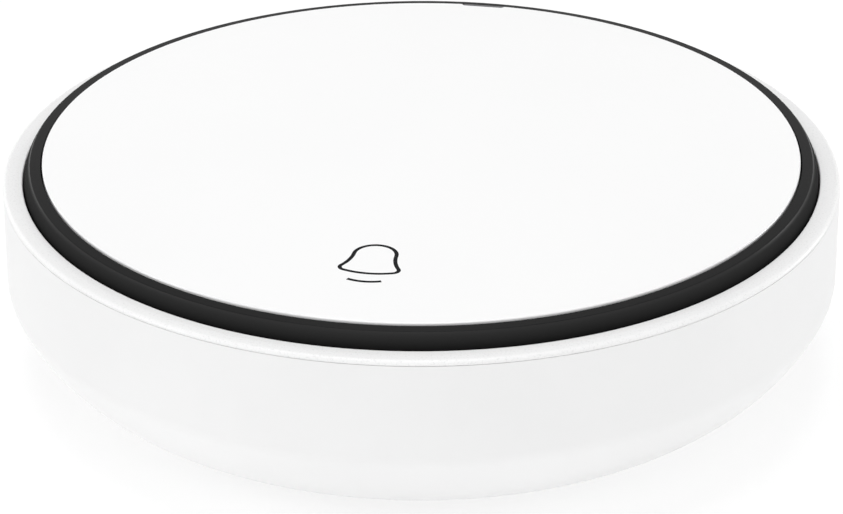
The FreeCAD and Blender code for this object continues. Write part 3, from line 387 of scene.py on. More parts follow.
def plate_white(settings):
    """White glossy acrylic, wiped clean, with a slight waviness."""
    roughness = settings.plate_roughness
    finish = Finish("plate_white", settings.plate, roughness, Coat_Weight=0.2,
                    Coat_Roughness=0.06)
    finish.tint(finish.noise(0.03), 0.985)
    wiped = finish.noise(0.0015, 3.0, 0.5, finish.stretched((1.0, 6.0, 1.0), (0.0, 0.0, 0.5)))
    finish.polish(wiped, roughness - 0.03, roughness + 0.04)
    finish.raise_by(finish.noise(0.012, 1.0), 0.0000015)
    return finish


# The ring's tones, its matt side with a painted sheen that lightens it towards the crease, and
# its crease below the disc's top
RING_TONE, RING_SIDE_PAINTED_SHEEN, RING_SIDE_ROUGHNESS = 0.8, 3.0, 0.9
CREASE_DROP, SHEEN_BLEND, CREASE_WEAR, SHEEN_FADE = 0.31 * MM, 0.03 * MM, 0.3 * MM, 1.4 * MM


def carrier_black(settings):
    """Black ABS, textured on the ring's side and worn smoother along its crease, with a painted
    sheen that lightens the side towards the crease.
    """
    finish = moulded("carrier_black", toned(settings.ring, RING_TONE), settings.ring_roughness,
                     0.0002, 0.0000015, Specular_IOR_Level=0.035)
    crease, height = PLATE_HIGH.z - CREASE_DROP, finish.height()
    # Painted sheen: the side grows lighter up to the crease, then turns back to plain black
    # above it
    finish.tint(height, RING_SIDE_PAINTED_SHEEN, crease - SHEEN_FADE, crease)
    finish.tint(height, 1.0, crease, crease + SHEEN_BLEND)
    finish.polish(height, RING_SIDE_ROUGHNESS, settings.ring_roughness, crease - CREASE_WEAR,
                  crease)
    return finish


def mark_ink(settings):
    """Screen ink: matt, with a fine mesh grain and tiny thin spots."""
    finish = Finish("mark_ink", settings.ink, 0.6, Specular_IOR_Level=0.03)
    finish.tint(finish.noise(0.00012), 1.4, 0.5, 0.8)
    finish.raise_by(finish.noise(0.0001), 0.000002)
    return finish


def smoked(name, base):
    """Smoked polycarbonate that looks black until the lamp is lit."""
    finish = Finish(name, base, 0.12, Coat_Weight=0.3)
    finish.tint(finish.noise(0.002), 1.4)
    finish.polish(finish.noise(0.0008), 0.1, 0.18)
    finish.raise_by(finish.noise(0.001, 1.0), 0.0000008)
    return finish


TRACK_START, TRACK_END = 0.1, 0.16


def laminate(name, base):
    """Green solder mask over glass cloth, with raised tracks under it."""
    finish = Finish(name, base, 0.35, Coat_Weight=0.3)
    tracks = finish.cells(0.0035, "DISTANCE_TO_EDGE")
    finish.tint(tracks, 1.7, TRACK_END, TRACK_START)
    finish.tint(finish.noise(0.0009, 3.0), 0.75)
    finish.polish(finish.noise(0.0015), 0.3, 0.42)
    finish.raise_by(spread(tracks, 1.0, 0.0, TRACK_START, TRACK_END), 0.00003)
    finish.raise_by(finish.noise(0.0003), 0.000003)
    return finish


# Slots whose maker reads the settings and has the slot's name
OWN_FINISHES = {maker.__name__: maker for maker in (
    housing_white, door_white, bezel_white, plate_white, carrier_black, mark_ink)}

# The other slots: a maker, and what it is called with after the slot's name and colour
PLAIN_FINISHES = {
    "window_smoke": (smoked,),
    "board_laminate": (laminate,),
    "frame_black": (moulded, 0.5, 0.0002, 0.000004),
    "switch_black": (moulded, 0.55, 0.00016, 0.000004),
    "holder_black": (moulded, 0.55, 0.00018, 0.000005),
    "stem_plastic": (moulded, 0.4, 0.0002, 0.000002),
    "chip_black": (moulded, 0.6, 0.00006, 0.000004),
    "chip_ceramic": (moulded, 0.45, 0.00008, 0.000003),
    "foot_rubber": (rubber, 0.8),
    "seal_rubber": (rubber, 0.6),
    "pad_silicone": (rubber, 0.55),
    "tape_foam": (rubber, 0.9),
    "sheet_steel": (metal, 0.3),
    "spring_steel": (metal, 0.28, (6.0, 6.0, 1.0)),
    "screw_steel": (metal, 0.25, (1.0, 1.0, 6.0)),
    "contact_metal": (metal, 0.24, (1.0, 10.0, 1.0)),
    "cell_steel": (metal, 0.3, (1.0, 18.0, 1.0)),
    "antenna_copper": (metal, 0.3, (5.0, 5.0, 5.0)),
    "can_metal": (metal, 0.3, (1.0, 12.0, 1.0)),
    "lamp_clear": (clear, 0.15, 1.54),
    "guide_clear": (clear, 0.04, 1.585),
}


def finish_of(slot, settings):
    """A slot's finish, in the record's colour where the slot has no maker of its own."""
    if slot in OWN_FINISHES:
        return OWN_FINISHES[slot](settings)
    maker, *values = PLAIN_FINISHES[slot]
    return maker(slot, SLOT_COLOURS[slot], *values)


# Shapes

class Outline:
    """An outline, across and up, that is drawn side by side and then turned round Z."""

    def __init__(self, across, up):
        self.shape = bmesh.new()
        self.first = self.last = self.shape.verts.new((across, 0.0, up))
        self.rounds = {}

    def lines(self, *corners):
        """Draws straight sides to corners; a third number, if there is one, rounds a corner."""
        for across, up, *rounding in corners:
            corner = self.shape.verts.new((across, 0.0, up))
            self.shape.edges.new((self.last, corner))
            if any(rounding):
                self.rounds.setdefault(rounding[0], []).append(corner)
            self.last = corner

    def arc(self, across, up, turn, steps):
        """Swings the last corner about a centre, to the left where the turn is positive."""
        made = bmesh.ops.spin(self.shape, geom=[self.last], cent=(across, 0.0, up),
                              axis=(0.0, -1.0, 0.0), angle=turn, steps=steps)
        self.last = corners_of(made["geom_last"])[0]

    def turned(self, segments=ROUND_SEGMENTS):
        """The solid that the outline makes when it goes all the way round."""
        if self.first.co.x > WELD_DISTANCE:
            self.shape.edges.new((self.last, self.first))
        for rounding, corners in self.rounds.items():
            bevel(self.shape, corners, rounding, "VERTICES")
        bmesh.ops.spin(self.shape, geom=everything(self.shape), axis=UP, angle=tau,
                       steps=segments, use_merge=True)
        return closed(self.shape)


def corners_of(items):
    """The corners among what an operator made."""
    return [item for item in items if isinstance(item, bmesh.types.BMVert)]


def everything(shape):
    """All corners, edges and faces of a shape."""
    return shape.verts[:] + shape.edges[:] + shape.faces[:]


def bevel(shape, items, rounding, affect, segments=ROUNDING_SEGMENTS, clamp=False):
    """Rounds corners or edges."""
    bmesh.ops.bevel(shape, geom=items, offset=rounding, offset_type="OFFSET", segments=segments,
                    profile=0.5, affect=affect, material=-1, clamp_overlap=clamp)


def closed(shape):
    """Welds a solid's seams and poles, drops bare edges and turns its faces outward."""
    bmesh.ops.remove_doubles(shape, verts=shape.verts, dist=WELD_DISTANCE)
    bare = [edge for edge in shape.edges if edge.is_wire]
    bmesh.ops.delete(shape, geom=bare, context="EDGES")
    bmesh.ops.recalc_face_normals(shape, faces=shape.faces)
    return shape


def bar(low, high):
    """A block between two corners."""
    shape = bmesh.new()
    low, high = Vector(low), Vector(high)
    matrix = Matrix.Translation((low + high) / 2) @ Matrix.Diagonal((*(high - low), 1.0))
    bmesh.ops.create_cube(shape, size=1.0, matrix=matrix)
    return shape


def rod(radius, low, high):
    """An upright round rod, where the first screw stands."""
    shape = bmesh.new()
    bmesh.ops.create_cone(shape, cap_ends=True, segments=SMALL_SEGMENTS, radius1=radius,
                          radius2=radius, depth=high - low,
                          matrix=Matrix.Translation((0.0, SCREW_CIRCLE, (low + high) / 2)))
    return shape


def turn_by(shape, turn):
    """Turns a shape about Z."""
    bmesh.ops.rotate(shape, verts=shape.verts, matrix=Matrix.Rotation(turn, 3, "Z"))
    return shape


def repeated(shape, count):
    """Repeats a shape evenly round Z."""
    bmesh.ops.spin(shape, geom=everything(shape), axis=UP, steps=count - 1,
                   angle=tau * (count - 1) / count, use_duplicate=True)
    return shape


def raised(shape, low, high):
    """A flat strip made a solid between two heights."""
    bmesh.ops.translate(shape, verts=shape.verts, vec=(0.0, 0.0, low))
    made = bmesh.ops.extrude_face_region(shape, geom=shape.faces[:], use_keep_orig=True)
    bmesh.ops.translate(shape, verts=corners_of(made["geom"]), vec=(0.0, 0.0, high - low))
    return closed(shape)


def softened(shape, rounding, chosen):
    """Rounds the sharp edges whose two ends are among the chosen places."""
    edges = [edge for edge in shape.edges if edge.calc_face_angle(0.0) > SHARP_ANGLE
             and all(chosen(corner.co) for corner in edge.verts)]
    bevel(shape, edges, rounding, "EDGES", clamp=True)
    return closed(shape)


def together(*shapes):
    """Several shapes in one."""
    whole = bmesh.new()
    for shape in shapes:
        mesh = bpy.data.meshes.new("part")
        shape.to_mesh(mesh)
        shape.free()
        whole.from_mesh(mesh)
        bpy.data.meshes.remove(mesh)
    return whole


def linked(name, data):
    """An object in the scene that holds the data."""
    item = bpy.data.objects.new(name, data)
    bpy.context.scene.collection.objects.link(item)
    return item


def loose(name, shape):
    """An object that holds a shape."""
    mesh = bpy.data.meshes.new(name)
    shape.to_mesh(mesh)
    shape.free()
    return linked(name, mesh)


def combined(operation, base, *tools):
    """A shape with others joined to it or cut away from it, one after the other."""
    for tool in tools:
        holder, cutter = loose("base", base), loose("tool", tool)
        modifier = holder.modifiers.new("combine", "BOOLEAN")
        modifier.operation = operation
        modifier.solver = "EXACT"
        modifier.object = cutter
        base = bmesh.new()
        base.from_object(holder, bpy.context.evaluated_depsgraph_get())
        bpy.data.meshes.remove(holder.data)
        bpy.data.meshes.remove(cutter.data)
        closed(base)
    return base


def add_piece(name, shape, body, slot, *nodes):
    """Makes a shape a piece that rides on a body, has a slot's finish and stands for nodes."""
    piece = loose(name, shape)
    piece.data.materials.append(bpy.data.materials[slot])
    piece.data.shade_smooth()
    piece.data.set_sharp_from_angle(angle=SHARP_ANGLE)
    even = piece.modifiers.new("even_shading", "WEIGHTED_NORMAL")
    even.keep_sharp = True
    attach(piece, body)
    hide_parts(*nodes)
    return piece


# Fixed sizes

HOUSING_BASE = FOOT_LOW.z + 0.5 * MM
FOOT_FIT = 0.05 * MM
DOOR_GAP = 0.12 * MM
DOOR_PLAY = 0.05 * MM
PLUG_GAP = 0.1 * MM
LUG_WIDTH = 7.0 * MM
LUG_REACH = 1.2 * MM
LUG_PLAY = 0.15 * MM
LUG_THICKNESS = 0.75 * MM
LUG_LIFT = 1.95 * MM
LUG_NOTCH_TOP = 3.0 * MM
DOOR_TURN = radians(35)
STOP_WIDTH = 1.5 * MM
HEAD_RADIUS = 2.25 * MM
HEAD_HEIGHT = 1.5 * MM
HEAD_FIT = 0.2 * MM
HEAD_ROUND = 0.45 * MM
SEAT_ROUND = 0.1 * MM
TIP_ROUND = 0.3 * MM
CROSS_REACH = 1.3 * MM
CROSS_HALF = 0.3 * MM
CROSS_DEPTH = 0.9 * MM
SHANK_RADIUS = 1.25 * MM
SHANK_FIT = 0.25 * MM
SCREW_CIRCLE = SCREWS_HIGH.y - HEAD_RADIUS
GUSSET_REACH = 3.0 * MM
GUSSET_TOP = 14.0 * MM
TONGUE_GAP = 0.05 * MM
BEAD_DEPTH = 0.15 * MM
BEAD_HEIGHT = 0.35 * MM
SEAL_GROOVE = 0.9 * MM
THREAD_DEPTH = 0.2 * MM
INK_SINK = 0.002 * MM


# Housing and bezel

def bowl_of(settings):
    """The bowl's arc: its centre, across and up, and its radius, from the sizes round it."""
    turn = settings.corner_angle
    bend = settings.wall_foot - settings.corner_radius * sin(turn)
    radius = (bend - HOUSING_BASE) / (1.0 - sin(turn))
    across = HOUSING_HIGH.x - settings.corner_radius
    across += (settings.corner_radius - radius) * cos(turn)
    return across, HOUSING_BASE + radius, radius


def housing_cup(settings, bezel, underside):
    """The turned cup: floor with groove and recess, bowl, wall, and the rebate in its rim."""
    outer = HOUSING_HIGH.x
    inner = outer - settings.wall
    elbow = outer - settings.corner_radius
    turn = settings.corner_angle
    flat, centre = bowl_of(settings)[:2]
    floor = HOUSING_BASE + settings.wall
    ledge = HOUSING_BASE + underside.flange + DOOR_PLAY
    opening = underside.plug_radius + PLUG_GAP
    recess = DOOR_HIGH.x + DOOR_GAP
    groove_in = FOOT_HIGH.x - underside.foot_width - FOOT_FIT
    groove_out = FOOT_HIGH.x + FOOT_FIT
    rebate = inner + bezel.tongue + TONGUE_GAP
    bead = BEZEL_LOW.z + bezel.tongue_depth / 2
    small = settings.edge_round
    cup = Outline(opening, floor)
    cup.lines(
        (opening, ledge, small), (recess, ledge), (recess, HOUSING_BASE, small),
        (groove_in, HOUSING_BASE, small), (groove_in, FOOT_HIGH.z), (groove_out, FOOT_HIGH.z),
        (groove_out, HOUSING_BASE, small), (flat, HOUSING_BASE))
    cup.arc(flat, centre, pi / 2 - turn, 36)
    cup.arc(elbow, settings.wall_foot, turn, 12)
    cup.lines(
        (outer, HOUSING_HIGH.z, settings.rim_round), (rebate, HOUSING_HIGH.z),
        (rebate, bead + BEAD_HEIGHT), (rebate + BEAD_DEPTH, bead), (rebate, bead - BEAD_HEIGHT),
        (rebate, BEZEL_LOW.z), (inner, BEZEL_LOW.z, small), (inner, settings.wall_foot))
    cup.arc(elbow, settings.wall_foot, -turn, 6)
    cup.arc(flat, centre, turn - pi / 2, 24)
    return cup.turned()


def housing_gusset(settings):
    """One of the gussets that carry the inner frame, its foot sunk in the bowl's wall."""
    inner = HOUSING_HIGH.x - settings.wall - GUSSET_REACH
    outer = HOUSING_HIGH.x - settings.wall / 2
    flat, centre, radius = bowl_of(settings)
    middle = radius - settings.wall / 2
    foot = centre - sqrt(middle ** 2 - (inner - flat) ** 2)
    half = settings.gusset_thickness / 2
    shape = bar((inner, -half, foot), (outer, half, GUSSET_TOP))
    sunk = [corner for corner in shape.verts
            if corner.co.x > inner and corner.co.z < centre / 2]
    bmesh.ops.translate(shape, verts=sunk, vec=(0.0, 0.0, settings.wall_foot - foot))
    return repeated(shape, 6)


def housing_stands(settings, underside):
    """What stands inside the cup: gussets, screw bosses, and blocks that stop the lugs."""
    floor = HOUSING_BASE + settings.wall
    middle = (HOUSING_BASE + underside.flange + DOOR_PLAY + floor) / 2
    boss = rod(settings.boss_radius, middle, BOARD_LOW.z)
    half = LUG_WIDTH / 2 + LUG_PLAY
    near = underside.plug_radius + 2 * PLUG_GAP
    far = underside.plug_radius + LUG_REACH + STOP_WIDTH
    top = floor + DOOR_PLAY + LUG_THICKNESS
    shut = bar((-half - STOP_WIDTH, near, middle), (-half, far, top))
    opened = turn_by(bar((half, near, middle), (half + STOP_WIDTH, far, top)), -DOOR_TURN)
    return together(housing_gusset(settings), repeated(boss, 3), repeated(shut, 3),
                    repeated(opened, 3))


def housing_cuts(underside):
    """What is cut from the cup: head recesses, screw holes, and the ways in for the lugs."""
    recess = rod(HEAD_RADIUS + HEAD_FIT, 0.0, SCREWS_LOW.z + HEAD_HEIGHT)
    hole = rod(SHANK_RADIUS + SHANK_FIT, 0.0, BOARD_LOW.z + MM)
    half = LUG_WIDTH / 2 + LUG_PLAY
    reach = underside.plug_radius + LUG_REACH + LUG_PLAY
    notch = turn_by(bar((-half, reach / 2, 0.0), (half, reach, LUG_NOTCH_TOP)), -DOOR_TURN)
    return repeated(recess, 3), together(repeated(hole, 3), repeated(notch, 3))


def bezel_rim(housing, settings):
    """The turned rim: a snap-in tongue with its bead, and a lip that falls outward."""
    inner = HOUSING_HIGH.x - housing.wall
    outer = BEZEL_HIGH.x
    tongue = inner + settings.tongue
    bead = BEZEL_LOW.z + settings.tongue_depth / 2
    fillet = BEZEL_HIGH.z - settings.fall - settings.fillet
    edge = HOUSING_HIGH.z + settings.parting
    rim = Outline(inner, BEZEL_LOW.z)
    rim.lines((tongue, BEZEL_LOW.z), (tongue, bead - BEAD_HEIGHT), (tongue + BEAD_DEPTH, bead),
              (tongue, bead + BEAD_HEIGHT), (tongue, edge), (outer, edge, housing.rim_round),
              (outer, fillet))
    rim.arc(outer - settings.fillet, fillet, pi / 2, 10)
    rim.lines((inner, BEZEL_HIGH.z, settings.inner_round))
    return rim.turned()


# Face plate, bell mark and window

def bell_strip(settings):
    """The bell's line and the short line below it, flat, swung from the edge of a pen's nib."""
    half = settings.mark_line / 2
    turn = settings.flank_angle
    dome = settings.dome_radius
    flank = dome + settings.flank_radius
    side = settings.flank_radius + settings.corner_radius
    corner = (flank - side * cos(turn), -side * sin(turn))
    span = settings.mouth_radius - settings.corner_radius
    mouth = corner[1] + sqrt(span ** 2 - corner[0] ** 2)
    swept = asin(corner[0] / span)
    shape = bmesh.new()
    nib = stroke(shape, (0.0, dome - half), (0.0, dome + half))
    nib = swing(shape, nib, (0.0, 0.0), -pi / 2, 24)
    nib = swing(shape, nib, (flank, 0.0), turn, 16)
    nib = swing(shape, nib, corner, swept - pi / 2 - turn, 16)
    swing(shape, nib, (0.0, mouth), -swept, 12)
    low = mouth - settings.mouth_radius - settings.swing_gap
    nib = stroke(shape, (0.0, low - half), (0.0, low + half))
    reach = asin(settings.swing_reach / settings.swing_radius)
    swing(shape, nib, (0.0, low + settings.swing_radius), reach, 12)
    bmesh.ops.mirror(shape, geom=everything(shape), axis="X", merge_dist=WELD_DISTANCE)
    middle = settings.mark_inset - PLATE_HIGH.x
    bmesh.ops.translate(shape, verts=shape.verts, vec=(0.0, middle, 0.0))
    return shape


def stroke(shape, start, end):
    """A nib's edge, flat on the floor."""
    ends = [shape.verts.new((*place, 0.0)) for place in (start, end)]
    return [*ends, shape.edges.new(ends)]


def swing(shape, nib, centre, turn, steps):
    """Swings the nib about a centre and leaves its line behind it."""
    return bmesh.ops.spin(shape, geom=nib, cent=(*centre, 0.0), axis=UP, angle=turn,
                          steps=steps)["geom_last"]


def window_block(settings, low, play=0.0, beyond=0.0):
    """The window's head or its notch, with its two inner corners rounded."""
    half = WINDOW_HIGH.x + play
    inner = WINDOW_HIGH.y - settings.reach - play
    shape = bar((-half, inner, low), (half, WINDOW_HIGH.y + beyond, WINDOW_HIGH.z + beyond))
    corners = [edge for edge in shape.edges
               if all(corner.co.y < inner + WELD_DISTANCE for corner in edge.verts)
               and abs(edge.verts[0].co.x - edge.verts[1].co.x) < WELD_DISTANCE]
    bevel(shape, corners, settings.corner_round + play, "EDGES", 2 * ROUNDING_SEGMENTS)
    return closed(shape)


def plate_disc(settings, window):
    """The turned disc with a rounded rim, the window's notch and the mark's channel."""
    rim = PLATE_HIGH.x - settings.rim_play
    disc = Outline(0.0, PLATE_LOW.z)
    disc.lines((rim, PLATE_LOW.z, settings.notch_round),
               (rim, PLATE_HIGH.z, settings.rim_round), (0.0, PLATE_HIGH.z))
    notch = window_block(window, PLATE_LOW.z - MM, settings.notch_play, MM)
    disc = combined("DIFFERENCE", disc.turned(), notch)
    edge = WINDOW_HIGH.y - window.reach - MM
    half = WINDOW_HIGH.x + 2 * settings.notch_play
    disc = softened(disc, settings.notch_round, lambda place: (
        place.z > PLATE_HIGH.z - WELD_DISTANCE and place.y > edge and abs(place.x) < half))
    channel = raised(bell_strip(settings), PLATE_HIGH.z - settings.mark_depth,
                     PLATE_HIGH.z + settings.mark_depth)
    return combined("DIFFERENCE", disc, channel)


def window_piece(settings):
    """The window: a head with softened edges on a foot that catches the light below."""
    head = window_block(settings, WINDOW_LOW.z)
    foot = bar(WINDOW_LOW, (WINDOW_HIGH.x, WINDOW_HIGH.y, WINDOW_LOW.z + settings.foot_height))
    top = WINDOW_HIGH.z - WELD_DISTANCE
    head = softened(head, settings.edge_round, lambda place: place.z > top)
    return combined("UNION", head, foot)


# Underside

def foot_ring(settings):
    """The soft ring, turned, with rounded lower edges."""
    inner = FOOT_HIGH.x - settings.foot_width
    ring = Outline(inner, FOOT_HIGH.z)
    ring.lines((inner, FOOT_LOW.z, settings.foot_round),
               (FOOT_HIGH.x, FOOT_LOW.z, settings.foot_round), (FOOT_HIGH.x, FOOT_HIGH.z))
    return ring.turned()


def coin_slot(settings):
    """A slot with round ends: a circle pulled apart and sunk into the door."""
    shape = bmesh.new()
    bmesh.ops.create_circle(shape, cap_ends=True, segments=SMALL_SEGMENTS,
                            radius=settings.slot_width / 2)
    pull = (settings.slot_length - settings.slot_width) / 2
    for side in (1.0, -1.0):
        half = [corner for corner in shape.verts if side * corner.co.x > WELD_DISTANCE]
        bmesh.ops.translate(shape, verts=half, vec=(side * pull, 0.0, 0.0))
    return raised(shape, 0.0, DOOR_LOW.z + settings.slot_depth)


def door_cover(settings):
    """The door: flange with seal groove, plug, three lugs and a coin slot."""
    low, flange = DOOR_LOW.z, DOOR_LOW.z + settings.flange
    rim, groove = DOOR_HIGH.x, SEAL_HIGH.x - SEAL_GROOVE
    cover = Outline(0.0, low)
    cover.lines(
        (rim, low, settings.door_round), (rim, flange, settings.door_round / 2),
        (SEAL_HIGH.x, flange), (SEAL_HIGH.x, SEAL_LOW.z), (groove, SEAL_LOW.z),
        (groove, flange), (settings.plug_radius, flange),
        (settings.plug_radius, DOOR_HIGH.z, settings.door_round), (0.0, DOOR_HIGH.z))
    lug_low = low + LUG_LIFT
    lug = bar((-LUG_WIDTH / 2, settings.plug_radius / 2, lug_low),
              (LUG_WIDTH / 2, settings.plug_radius + LUG_REACH, lug_low + LUG_THICKNESS))
    cover = combined("UNION", cover.turned(), repeated(lug, 3))
    cover = combined("DIFFERENCE", cover, coin_slot(settings))
    return softened(cover, settings.slot_round, lambda place: (
        place.z < low + WELD_DISTANCE and hypot(place.x, place.y) < settings.slot_length))


def case_screws(settings):
    """Three screws: a pan head with a cross recess, and a shank with a rolled thread."""
    low = SCREWS_LOW.z
    seat = low + HEAD_HEIGHT
    screw = Outline(0.0, low)
    core = SHANK_RADIUS - THREAD_DEPTH
    screw.lines((HEAD_RADIUS, low, HEAD_ROUND), (HEAD_RADIUS, seat, SEAT_ROUND), (core, seat),
                (core, SCREWS_HIGH.z, TIP_ROUND), (0.0, SCREWS_HIGH.z))
    cross = combined("UNION", *(
        bar((-across, -along, 0.0), (across, along, low + CROSS_DEPTH))
        for across, along in ((CROSS_REACH, CROSS_HALF), (CROSS_HALF, CROSS_REACH))))
    blank = combined("DIFFERENCE", screw.turned(SMALL_SEGMENTS), cross)
    whole = together(blank, screw_thread(settings, seat))
    bmesh.ops.translate(whole, verts=whole.verts, vec=(0.0, SCREW_CIRCLE, 0.0))
    return repeated(whole, 3)


def screw_thread(settings, seat):
    """The thread: a ridge that winds up the shank."""
    shape = bmesh.new()
    root, crest = SHANK_RADIUS - 1.5 * THREAD_DEPTH, SHANK_RADIUS
    low = seat + settings.screw_pitch
    places = [(root, 0.0, low), (crest, 0.0, low + settings.screw_pitch / 4),
              (root, 0.0, low + settings.screw_pitch / 2)]
    ridge = shape.faces.new([shape.verts.new(place) for place in places])
    turns = int((SCREWS_HIGH.z - low - MM) / settings.screw_pitch)
    bmesh.ops.spin(shape, geom=[ridge, *ridge.edges, *ridge.verts], axis=UP,
                   steps=turns * COIL_SEGMENTS, angle=turns * tau,
                   dvec=(0.0, 0.0, settings.screw_pitch / COIL_SEGMENTS))
    return closed(shape)


# Springs and snap dome


def coil_springs(settings):
    """Three coil springs: the wire's end goes round closed coils, open ones and closed ones."""
    shape = bmesh.new()
    wire = settings.wire / 2
    start = Matrix.Translation((settings.coil_radius, 0.0, SPRINGS_LOW.z + wire))
    bmesh.ops.create_circle(shape, cap_ends=True, segments=WIRE_SEGMENTS, radius=wire,
                            matrix=start @ Matrix.Rotation(pi / 2, 4, "X"))
    open_rise = SPRINGS_HIGH.z - SPRINGS_LOW.z - settings.wire - 2 * settings.closed_pitch
    end = everything(shape)
    for coils, rise in ((1.0, settings.closed_pitch), (settings.open_coils, open_rise),
                        (1.0, settings.closed_pitch)):
        steps = round(COIL_SEGMENTS * coils)
        end = bmesh.ops.spin(shape, geom=end, axis=UP, angle=tau * coils, steps=steps,
                             dvec=(0.0, 0.0, rise / steps))["geom_last"]
    circle = -SPRINGS_LOW.y - settings.coil_radius - wire
    bmesh.ops.translate(shape, verts=shape.verts, vec=(0.0, -circle, 0.0))
    return closed(repeated(shape, 3))


def snap_dome(settings):
    """The domed disc under the switch's stem, turned from its two arcs."""
    thickness = settings.dome_thickness
    reach, rise = DOME_HIGH.x, DOME_HIGH.z - DOME_LOW.z
    outer = (reach ** 2 + rise ** 2) / (2 * rise)
    within, lift = reach - thickness, rise - thickness
    inner = (within ** 2 + lift ** 2) / (2 * lift)
    dome = Outline(within, DOME_LOW.z)
    dome.lines((reach, DOME_LOW.z))
    dome.arc(0.0, DOME_HIGH.z - outer, asin(reach / outer), 12)
    dome.lines((0.0, DOME_HIGH.z - thickness))
    dome.arc(0.0, DOME_HIGH.z - thickness - inner, -asin(within / inner), 12)
    return dome.turned(SMALL_SEGMENTS)


# Stage

def light_path_share(tree):
    """An output that is 1 for what is seen, mirrored or seen through, and 0 for plain light."""
    path = tree.nodes.new("ShaderNodeLightPath").outputs
    seen = path["Is Camera Ray"]
    for name in ("Is Glossy Ray", "Is Transmission Ray"):
        seen = add_node(tree, "Math", "Value", seen, path[name], operation="MAXIMUM")
    return seen


# How bright the lit floor is seen: a little over plain white
SEEN_WHITE = 1.04


def floor_material(settings):
    """Pale matt floor, seen as white where the light reaches it and clear from below."""
    material = bpy.data.materials.new("studio_floor")
    material.use_nodes = True
    tree = material.node_tree
    tree.nodes.clear()
    seen = light_path_share(tree)
    tone = spread(seen, settings.floor_white, settings.shadow_depth)
    paper = add_node(tree, "BsdfDiffuse", 0, Color=tone)
    reach = add_node(tree, "VectorMath", "Value", add_node(tree, "TexCoord", "Object"),
                     operation="LENGTH")
    edge = HOUSING_HIGH.x
    glow = spread(reach, settings.floor_glow, settings.table_glow, edge, edge / 2)
    white = add_node(tree, "Emission", 0,
                     Strength=spread(seen, glow, SEEN_WHITE - settings.shadow_depth))
    both = add_node(tree, "AddShader", 0, paper, white)
    below = add_node(tree, "BsdfTransparent", 0)
    side = add_node(tree, "NewGeometry", "Backfacing")
    output = tree.nodes.new("ShaderNodeOutputMaterial")
    feed(output.inputs["Surface"], add_node(tree, "MixShader", 0, side, both, below))
    return material


def make_floor(settings):
    """A round floor at the height that the button stands on."""
    shape = bmesh.new()
    bmesh.ops.create_circle(shape, cap_ends=True, segments=2 * SMALL_SEGMENTS,
                            radius=settings.floor_radius)
    floor = loose("studio_floor", shape)
    floor.data.materials.append(floor_material(settings))


def light_room(settings):
    """Even light from all round, seen as plain white."""
    world = bpy.data.worlds.new("studio_room")
    world.use_nodes = True
    tree = world.node_tree
    light = tree.nodes["Background"].inputs
    feed(light["Color"], (1.0, 1.0, 1.0, 1.0))
    feed(light["Strength"], spread(light_path_share(tree), settings.room_level, 1.0))
    bpy.context.scene.world = world


# Place in metres, width and power of each softbox
SOFTBOXES = {
    "softbox_top": ((-0.05, 0.0, 0.9), 0.45, 3.12),
    "softbox_front": ((0.1, -0.6, 0.7), 0.35, 0.98),
    "softbox_left": ((-0.8, -0.3, 0.4), 0.4, 1.75),
    "softbox_right": ((0.8, -0.3, 0.4), 0.4, 1.0),
    "softbox_low": ((0.1, -0.9, 0.15), 0.4, 1.0),
    "softbox_behind": ((0.0, 0.6, 0.7), 0.4, 0.52),
    "strip_left": ((-0.8, 0.6, 0.15), 0.4, 0.5),
    "strip_far_left": ((-0.97, 0.1, 0.15), 0.4, 0.4),
    "strip_right": ((0.8, 0.6, 0.15), 0.3, 1.8),
}


def hang_softboxes(settings):
    """Square lamps that face the button."""
    for name, (position, size, power) in SOFTBOXES.items():
        lamp = bpy.data.lights.new(name, "AREA")
        lamp.shape = "SQUARE"
        lamp.size = size
        lamp.energy = power * settings.lamp_level
        holder = linked(name, lamp)
        holder.location = position
        holder.rotation_euler = (-Vector(position)).to_track_quat("-Z", "Y").to_euler()


def place_camera(settings):
    """The camera at the photograph's angle, on a long lens."""
    data = bpy.data.cameras.new("photo_camera")
    data.sensor_width = 36.0
    data.lens = settings.lens
    data.clip_start = 0.01
    data.clip_end = 20.0
    camera = linked("photo_camera", data)
    azimuth = settings.azimuth
    level = settings.distance * cos(settings.elevation)
    top = PLATE_HIGH.z + settings.distance * sin(settings.elevation)
    camera.location = (level * sin(azimuth), -level * cos(azimuth), top)
    turn = Matrix.Rotation(azimuth, 3, "Z")
    tilt = Matrix.Rotation(pi / 2 - settings.pitch, 3, "X")
    roll = Matrix.Rotation(settings.roll, 3, "Z")
    camera.rotation_euler = (turn @ tilt @ roll).to_euler()
    bpy.context.scene.camera = camera


# Operators

class CALLBUTTON_OT_housing(Operator):
    """Build the cup with its bosses and openings, and the rim that frames the cap"""
    bl_idname = "call_button.housing"
    bl_label = "Build the Housing"

    def execute(self, context):
        scene = context.scene
        settings, underside = scene.call_button_housing, scene.call_button_underside
        cup = housing_cup(settings, scene.call_button_bezel, underside)
        cup = combined("UNION", cup, housing_stands(settings, underside))
        cup = combined("DIFFERENCE", cup, *housing_cuts(underside))
        add_piece("housing_cup", cup, "housing", "housing_white", "lower_housing")
        rim = bezel_rim(settings, scene.call_button_bezel)
        add_piece("bezel_rim", rim, "housing", "bezel_white", "top_bezel")
        return {"FINISHED"}


class CALLBUTTON_OT_face_plate(Operator):
    """Build the glossy disc, the bell mark in it and the window beside it"""
    bl_idname = "call_button.face_plate"
    bl_label = "Build the Face Plate"

    def execute(self, context):
        settings, window = context.scene.call_button_plate, context.scene.call_button_window
        disc = plate_disc(settings, window)
        add_piece("plate_disc", disc, "cap", "plate_white", "face_plate")
        top = PLATE_HIGH.z - INK_SINK
        ink = raised(bell_strip(settings), PLATE_HIGH.z - settings.mark_depth, top)
        add_piece("bell_ink", ink, "cap", "mark_ink", "bell_mark")
        add_piece("smoked_window", window_piece(window), "cap", "window_smoke",
                  "indicator_window")
        return {"FINISHED"}


